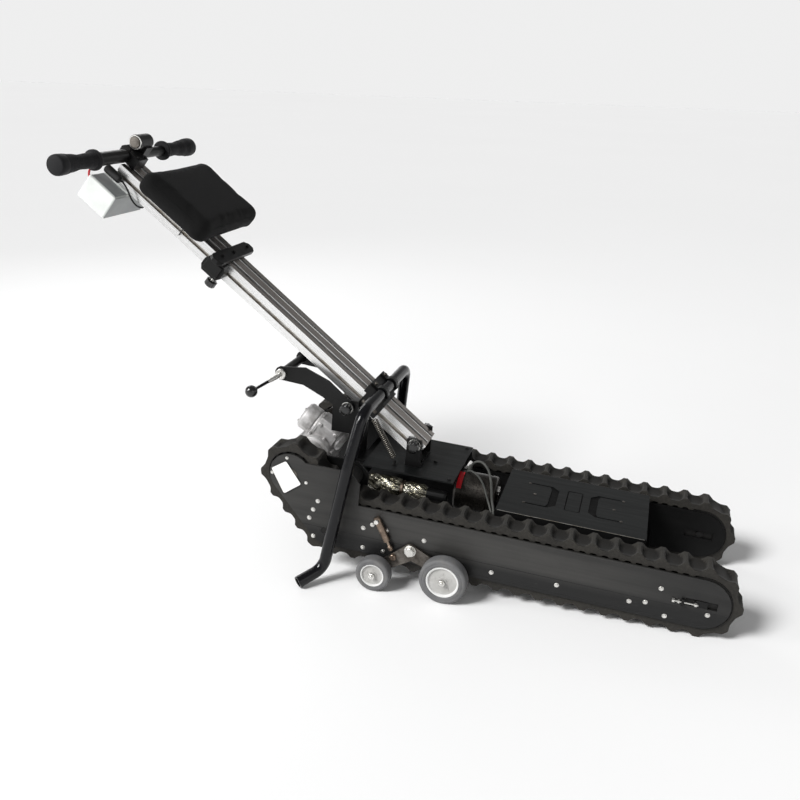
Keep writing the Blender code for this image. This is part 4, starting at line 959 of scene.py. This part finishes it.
def pivots():
    """Knobs, washers and rings at the mast hinge and the cradle bolt."""
    for name, centre, radius, start, end in (("hinge", (-0.392, 0, 0.261), 0.0148, 0.0545, 0.0745),
            ("cradle", (-0.5646, 0, 0.3345), 0.0138, 0.0742, 0.0945)):
        washers = Shape()
        for side, sign in SIDES.items():
            place = Vector(centre) + Vector((0, sign * start, 0))
            knob(f"{side}_{name}_knob", CHASSIS @ place, (0, sign, 0), radius, end - start, "chassis", 10)
            washers.lathe(washer(0.007, radius * 1.1, -0.0016, -0.0002), place, (0, sign, 0), 40)
        washers.make(f"{name}_washers", BOLT, bevel=0.0002)
    ring = Shape()
    ring.lathe([(0.0058, 0), (0.0125, 0), (0.0135, 0.001), (0.0135, 0.008), (0.012, 0.0095), (0.0058, 0.0095),
        (0.0058, 0)], LEVER_END + Vector((0, -0.0712, 0)), (0, -1, 0), 40)
    ring.lathe(washer(0.0058, 0.01, 0, 0.004), LEVER_END + Vector((0, 0.0712, 0)), (0, 1, 0), 40)
    ring.make("lever_end_rings", BOLT, "lever_arm_body", 0.0003)


def ball_lever():
    """Silver taper, thin dark shaft and a glossy ball; a silver pin end on the left."""
    pivot = CHASSIS @ LEVER_END
    turn = CHASSIS.to_3x3()

    def at(x, y, z):
        return pivot + turn @ Vector((x, y, z))

    taper = Shape(WORLD)
    route = [at(0, 0.08, 0), at(0, -0.078, 0), at(-0.001, -0.086, -0.001), at(-0.006, -0.094, -0.004),
        at(-0.012, -0.1088, -0.0076), at(-0.016, -0.1186, -0.01)]
    taper.tube(route, [0.005, 0.005, 0.0052, 0.0062, 0.0056, 0.0042], 24)
    taper.make("lever_spindle", BOLT, "ball_lever", stands_for="lock_lever")
    shaft = Shape(WORLD).tube([at(-0.0155, -0.1175, -0.0097), at(-0.033, -0.1606, -0.0202)], [0.004, 0.0034],
        20)
    shaft.make("lever_shaft", GLOSS, "ball_lever")
    centre = at(-0.036, -0.168, -0.022)
    away = (centre - at(-0.006, -0.094, -0.004)).normalized()
    profile = [(0, 0.015)] + [(0.015 * math.sin(t), 0.015 * math.cos(t))
        for t in [math.pi * k / 18 for k in range(1, 16)]]
    profile += [(0.0062, -0.015), (0.005, -0.017), (0, -0.017)]
    Shape(WORLD).lathe(profile, centre, away, 40).make("lever_ball", KNOB, "ball_lever", smooth=60)


def legs():
    """The bent leg tube, smooth and open at its feet, with collars and saddle screws."""
    back = MAST.inverted() @ CHASSIS
    foot_x, leg = -0.585, 0.0145
    ground = above_ground(foot_x, leg) + 0.0002
    shin = [(-0.505, 0.2235, 0.247), (-0.541, 0.2445, -0.014), (foot_x, 0.296, ground)]
    left = [Vector((0.146, -0.178, 0.037))] + [back @ Vector(p) for p in shin]
    right = [Vector((p.x, -p.y, p.z)) for p in reversed(left)]
    route = fillet(right + left, 0.042, 12)
    tube = Shape(MAST)
    tube.tube(route, leg, 28, closed_ends=False)
    for end, before in ((route[0], route[1]), (route[-1], route[-2])):
        inward = (before - end).normalized()
        tube.lathe([(leg, 0), (leg - 0.0003, -0.0002), (leg - 0.0026, -0.0002), (leg - 0.003, 0),
            (leg - 0.003, 0.022), (0, 0.016)], end, inward, 28)
    tube.make("leg_frame_tube", GLOSS, "mast", smooth=60, stands_for="leg_tube")
    straps, screws = Shape(MAST), Shape(MAST)
    outer, inner, base = leg + 0.0042, leg + 0.0003, 0.0413
    rise = math.asin((base - 0.037 + 0.004) / outer)
    low = math.asin((base - 0.037) / inner)
    arch = [(0.146 + outer * math.cos(rise + (math.pi - 2 * rise) * k / 16),
        0.037 + outer * math.sin(rise + (math.pi - 2 * rise) * k / 16)) for k in range(17)]
    under = [(0.146 + inner * math.cos(math.pi - low - (math.pi - 2 * low) * k / 16),
        0.037 + inner * math.sin(math.pi - low - (math.pi - 2 * low) * k / 16)) for k in range(17)]
    outline = ([(0.18, base), (0.18, base + 0.004)] + arch + [(0.1255, base + 0.004), (0.1255, base)] + under)
    for y in (-0.038, 0.038):
        straps.prism(outline, y - 0.0085, y + 0.0085)
        cap_screw(screws, (0.1715, y, base + 0.004), (0, 0, 1), 0.0042, 0.0046)
    straps.make("leg_straps", BLACK, "mast", 0.0008)
    for sign in (-1, 1):
        for du in (-0.018, 0.018):
            dome(screws, (0.146 + du, sign * 0.0506, -0.006), (0, sign, 0), 0.0042)
    screws.make("saddle_screws", DARK_STEEL, "mast")


# ---------------------------------------------------------------- mast furniture
def slide_clamp():
    """Sliding clamp: a bar with clipped ends, a jaw on the near side and its screws."""
    rest, low, high, wide, clip = 0.0165, 0.635, 0.671, 0.098, 0.013
    bar = Shape(MAST)
    bar.prism([(low, -wide + clip), (low + clip * 0.8, -wide), (high - clip * 0.8, -wide), (high, -wide + clip),
        (high, wide - clip), (high - clip * 0.8, wide), (low + clip * 0.8, wide), (low, wide - clip)], rest,
        rest + 0.012, "xy")
    bar.make("clamp_bar", BLACK, "wheelchair_clamp", 0.0012, stands_for="slide_clamp")
    jaw = Shape(MAST)
    jaw.prism([(0.623, 0), (0.623, -0.018), (0.631, -0.03), (0.675, -0.03), (0.683, -0.018), (0.683, 0),
        (0.675, rest - 0.0006), (0.631, rest - 0.0006)], 0.0452, 0.074)
    jaw.block((0.631, 0.0744, -0.022), (0.675, 0.0784, 0.01))
    jaw.make("clamp_jaw", BLACK, "wheelchair_clamp", 0.0012)
    screws = Shape(MAST)
    for y in (-0.076, 0.06, 0):
        cap_screw(screws, (0.653, y, rest + 0.0121), (0, 0, 1), 0.0042, 0.0034)
    screws.make("clamp_screws", ROLLER, "wheelchair_clamp")
    stem = Shape(MAST).lathe(drum(0.005, 0, -0.009), (0.639, 0.06, -0.0305), (0, 0, 1), 24)
    stem.make("clamp_knob_stem", BOLT, "clamp_screw", stands_for="clamp_knob")
    knob("clamp_knob_head", MAST @ Vector((0.639, 0.06, -0.039)), MAST.to_3x3() @ Vector((0, 0, -1)), 0.0136,
        0.017, "clamp_screw", 12)
    hook = Shape(MAST)
    hook.tube(smooth_route([(0.776, 0.0442, -0.018), (0.775, 0.048, -0.016), (0.774, 0.05, -0.008),
        (0.774, 0.05, 0.004), (0.775, 0.048, 0.01), (0.776, 0.0442, 0.011)], 5), 0.0014, 10)
    hook.make("mast_hook", GLOSS, "mast", smooth=70)


def headrest_neck():
    """The headrest's board and packing, narrower than its cushion."""
    neck = Shape(MAST)
    neck.block((0.735, -0.07, 0.017), (0.87, 0.07, PAD_UNDER + 0.002))
    neck.make("headrest_neck", BLACK, "mast", 0.002, slot="black_plastic", stands_for="headrest_board")


def cushion():
    """The headrest: a fabric pad swollen by cloth pressure from a smaller start."""
    low, high = Vector((0.691, -0.1535, PAD_UNDER)), Vector((0.8975, 0.1535, 0.0955))
    middle, half = (low + high) / 2, (high - low) / 2
    mesh = bpy.data.meshes.new("headrest_cushion")
    bm = bmesh.new()
    bmesh.ops.create_cube(bm, size=2)
    for v in bm.verts:
        v.co = Vector((v.co.x * half.x, v.co.y * half.y, v.co.z * half.z))
    upright = [e for e in bm.edges if abs(e.verts[0].co.z - e.verts[1].co.z) > half.z]
    bmesh.ops.bevel(bm, geom=upright, offset=0.03, segments=8, profile=0.5, affect="EDGES")
    for way, offset in ((1, 0.019), (-1, 0.009)):
        rims = [e for e in bm.edges if abs(e.verts[0].co.z - e.verts[1].co.z) < 1e-6 and e.is_manifold
            and e.calc_face_angle(0) > 0.5 and e.verts[0].co.z * way > 0]
        bmesh.ops.bevel(bm, geom=rims, offset=offset, segments=6, profile=0.5, affect="EDGES")
    bm.to_mesh(mesh)
    bm.free()
    mesh.transform(MAST @ Matrix.Translation(middle))
    pad = place_object("headrest_cushion", mesh)
    remesh = pad.modifiers.new("remesh", "REMESH")
    remesh.mode, remesh.voxel_size = "VOXEL", 0.005
    bake(pad)
    rest = [v.co.copy() for v in pad.data.vertices]
    cloth = pad.modifiers.new("cloth", "CLOTH")
    cloth.settings.use_pressure, cloth.settings.uniform_pressure_force = True, 4
    cloth.settings.effector_weights.gravity = 0
    for step in range(1, 21):
        bpy.context.scene.frame_set(step)
    bake(pad)
    bpy.context.scene.frame_set(1)
    base = (MAST @ Vector((0, 0, PAD_UNDER - 0.001)), MAST.to_3x3() @ Vector((0, 0, 1)))
    for vertex, start in zip(pad.data.vertices, rest):
        move = vertex.co - start
        if move.length > SWELL:
            vertex.co = start + move.normalized() * SWELL
        under = (vertex.co - base[0]).dot(base[1])
        if under < 0.0008:
            vertex.co += base[1] * (0.0008 - under)
    smooth = pad.modifiers.new("smooth", "SMOOTH")
    smooth.iterations = 6
    subdivide = pad.modifiers.new("subdivision", "SUBSURF")
    subdivide.levels = subdivide.render_levels = 1
    bake(pad)
    pad.data.shade_smooth()
    settle(pad, FABRIC, "mast")
    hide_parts("headrest_pad")
    return pad


def bake(obj):
    """Applies an object's modifiers."""
    mesh = bpy.data.meshes.new_from_object(obj.evaluated_get(bpy.context.evaluated_depsgraph_get()))
    obj.modifiers.clear()
    obj.data = mesh


def cushion_seam(pad):
    """A thin piped seam laid on the cushion's skin, round its top edge."""
    centre, lift = Vector((0.794, 0, 0.084)), MAST.to_3x3()
    skin = BVHTree.FromPolygons([v.co for v in pad.data.vertices],
        [tuple(f.vertices) for f in pad.data.polygons])
    loop = []
    for k in range(120):
        a = math.tau * k / 120
        start = MAST @ centre
        aim = (lift @ Vector((math.cos(a) * 0.62, math.sin(a), 0))).normalized()
        hit = skin.ray_cast(start + aim * 0.4, -aim)[0]
        if hit:
            loop.append(hit)
    loop = [(loop[i - 2] + loop[i - 1] + loop[i] + loop[(i + 1) % len(loop)] + loop[(i + 2) % len(loop)]) / 5
        for i in range(len(loop))]
    piping = Shape(WORLD).tube(loop + loop[:2], 0.0011, 8, closed_ends=False)
    piping.make("cushion_piping", FABRIC, "mast", smooth=80)


def grips():
    """Ribbed rubber grips, flared at the outer end, with an inner collar."""
    for side, sign in SIDES.items():
        profile = [(0.0129, 0), (0.0235, 0), (0.0245, 0.0012), (0.0245, 0.0075), (0.0236, 0.009),
            (0.0194, 0.0105)]
        for k in range(30):
            along = 0.012 + k * 0.0037
            base = waist(along)
            profile += [(base, along), (base + 0.0005, along + 0.0009), (base + 0.0005, along + 0.0022),
                (base, along + 0.0031)]
        profile += [(0.0232, 0.124), (0.0238, 0.132), (0.0238, 0.14), (0.023, 0.146), (0.0212, 0.1487),
            (0.019, 0.1495), (0, 0.15)]
        grip = Shape(MAST).lathe(profile, (1.004, -sign * 0.15, 0.03), (0, -sign, 0), 48)
        grip.make(f"{side}_grip_rubber", FOAM, "mast", smooth=50, stands_for=f"{side}_grip")


def waist(along):
    """Radius of the grip at a distance from its collar."""
    stations = [(0.012, 0.0188), (0.03, 0.0175), (0.06, 0.0163), (0.095, 0.02), (0.125, 0.023)]
    for (a, ra), (b, rb) in zip(stations, stations[1:]):
        if along <= b:
            t = max(0, (along - a) / (b - a))
            return ra + (rb - ra) * t * t * (3 - 2 * t)
    return stations[-1][1]


def bar_details():
    """Screws and ring on the handlebar clamp and pod, thin covers of painted shade on the battery's top and end,
    and its red wire.
    """
    screws = Shape(MAST)
    for du in (-0.016, 0.012):
        for y in (-0.014, 0.014):
            cap_screw(screws, (0.992 + du, y, 0.0457), (0, 0, 1), 0.0036, 0.0034)
    screws.make("bar_clamp_screws", ROLLER, "mast")
    ring = Shape(MAST).lathe([(0.0142, 0), (0.017, 0), (0.0176, 0.0008), (0.0172, 0.0022), (0.015, 0.0022),
        (0.0142, 0.0012), (0.0142, 0)], (1.01, -0.0022, 0.0645), (0, 1, 0), 48)
    ring.make("button_ring", BOLT, "mast", smooth=50)
    # Painted shade: grey covers on the battery's top and end make these faces darker than its white side.
    shaded_faces = Shape(MAST)
    shaded_faces.block((0.945, -0.081, -0.0419), (1.0225, -0.031, -0.0402))
    shaded_faces.block((0.945, 0.031, -0.0419), (1.0225, 0.081, -0.0402))
    shaded_faces.block((0.9392, -0.0835, -0.1065), (0.9399, 0.0835, -0.0435))
    shaded_faces.make("battery_shaded_faces", CASE_SHADE, "mast", 0.0008)
    wire = Shape(MAST)
    wire.tube(smooth_route([(1.0262, 0.076, -0.052), (1.032, 0.077, -0.045), (1.0345, 0.079, -0.032),
        (1.031, 0.08, -0.016), (1.022, 0.081, 0), (1.012, 0.081, 0.0125)]), 0.0026, 12)
    wire.make("battery_red_wire", RED, "mast", smooth=70, slot="cable_black")


def mast_slots():
    """The extrusion's slots: lips of painted highlight and floors of painted shadow in front, grey strips of
    painted shade in the slots on its sides, and nuts.
    """
    lip_highlights, dark, side = Shape(MAST), Shape(MAST), Shape(MAST)
    # Painted highlight on the front slots' lips, painted shadow on their floors, painted shade in the side
    # slots.
    for sign in (-1, 1):
        lip_highlights.block((-0.02, sign * 0.0144, 0.01602), (0.99, sign * 0.0174, 0.01645))
        dark.block((-0.0215, sign * 0.0178, 0.0081), (0.9915, sign * 0.0262, 0.01))
        side.block((-0.0215, sign * 0.0361, -0.0102), (0.9915, sign * 0.038, -0.0018))
    lip_highlights.make("mast_slot_lip_highlights", LIP_HIGHLIGHT, "mast")
    # Painted shadow: near-black strips laid on the floors of the front slots.
    dark.make("mast_slot_shadow_strips", RECESS_SHADE, "mast")
    # Painted shade: grey strips filling the slots on the mast's sides.
    side.make("mast_side_slot_shade", ZINC, "mast")
    nuts = Shape(MAST)
    for u in (0.12, 0.32, 0.52, 0.86):
        for y in (-0.022, 0.022):
            nuts.lathe([(0, 0), (0.0036, 0), (0.0036, 0.002), (0, 0.0022)], (u, y, 0.0102), (0, 0, 1), 16)
    nuts.make("slot_nuts", ZINC, "mast")


# ---------------------------------------------------------------- studio
def studio():
    """Pale floor, even world light and large soft lamps."""
    size = 40
    mesh = bpy.data.meshes.new("floor")
    mesh.from_pydata([(-size, -size, -0.0005), (size, -size, -0.0005), (size, size, -0.0005),
        (-size, size, -0.0005)], [], [(0, 1, 2, 3)])
    floor = place_object("floor", mesh)
    m = Nodes("pale_floor", Roughness=1, Specular_IOR_Level=0)
    tone = m.ramp(m.noise(0.3), (0.3, 0.925), (0.7, 0.935))
    m.tree.links.new(tone, m.shader.inputs["Base Color"])
    mesh.materials.append(m.material)
    world = bpy.data.worlds.new("studio")
    world.use_nodes = True
    nodes, links = world.node_tree.nodes, world.node_tree.links
    split, ramp = nodes.new("ShaderNodeSeparateXYZ"), nodes.new("ShaderNodeValToRGB")
    links.new(nodes.new("ShaderNodeTexCoord").outputs["Generated"], split.inputs[0])
    links.new(split.outputs["Z"], ramp.inputs[0])
    for point, place, grey in zip(ramp.color_ramp.elements, (0.16, 0.36), (0.86, 0.2)):
        point.position, point.color = place, (grey, grey, grey, 1)
    links.new(ramp.outputs[0], nodes["Background"].inputs["Color"])
    bpy.context.scene.world = world
    bpy.context.scene.view_settings.view_transform = "Standard"
    for name, kind, place, target, power, wide in (
            ("key", "SUN", (-2.4, -2.6, 3.2), (0, 0, 0), 3.12, math.radians(20)),
            ("strip", "AREA", (-2.4, -1.6, 1.5), (0, 0, 0.4), 20, 0.7),
            ("fill", "AREA", (2.4, -2.2, 1.5), (0.2, 0, 0.2), 7, 1.8),
            ("rear", "AREA", (-2.2, 2.2, 2.2), (0, 0, 0.3), 14, 1.6)):
        data = bpy.data.lights.new(name, kind)
        data.energy = power
        if kind == "SUN":
            data.angle = wide
        else:
            data.size, data.shape = wide, "DISK"
        lamp = place_object(name, data)
        lamp.location = place
        lamp.rotation_euler = (Vector(target) - Vector(place)).to_track_quat("-Z", "Y").to_euler()


def main():
    camera()
    repaint_all()
    belts()
    plate_hardware()
    wheels()
    front_deck()
    base_details()
    gearbox()
    motors()
    drive_motor()
    assist_spring()
    pivots()
    ball_lever()
    legs()
    slide_clamp()
    headrest_neck()
    cushion_seam(cushion())
    grips()
    bar_details()
    mast_slots()
    studio()


main()
bpy.context.view_layer.update()
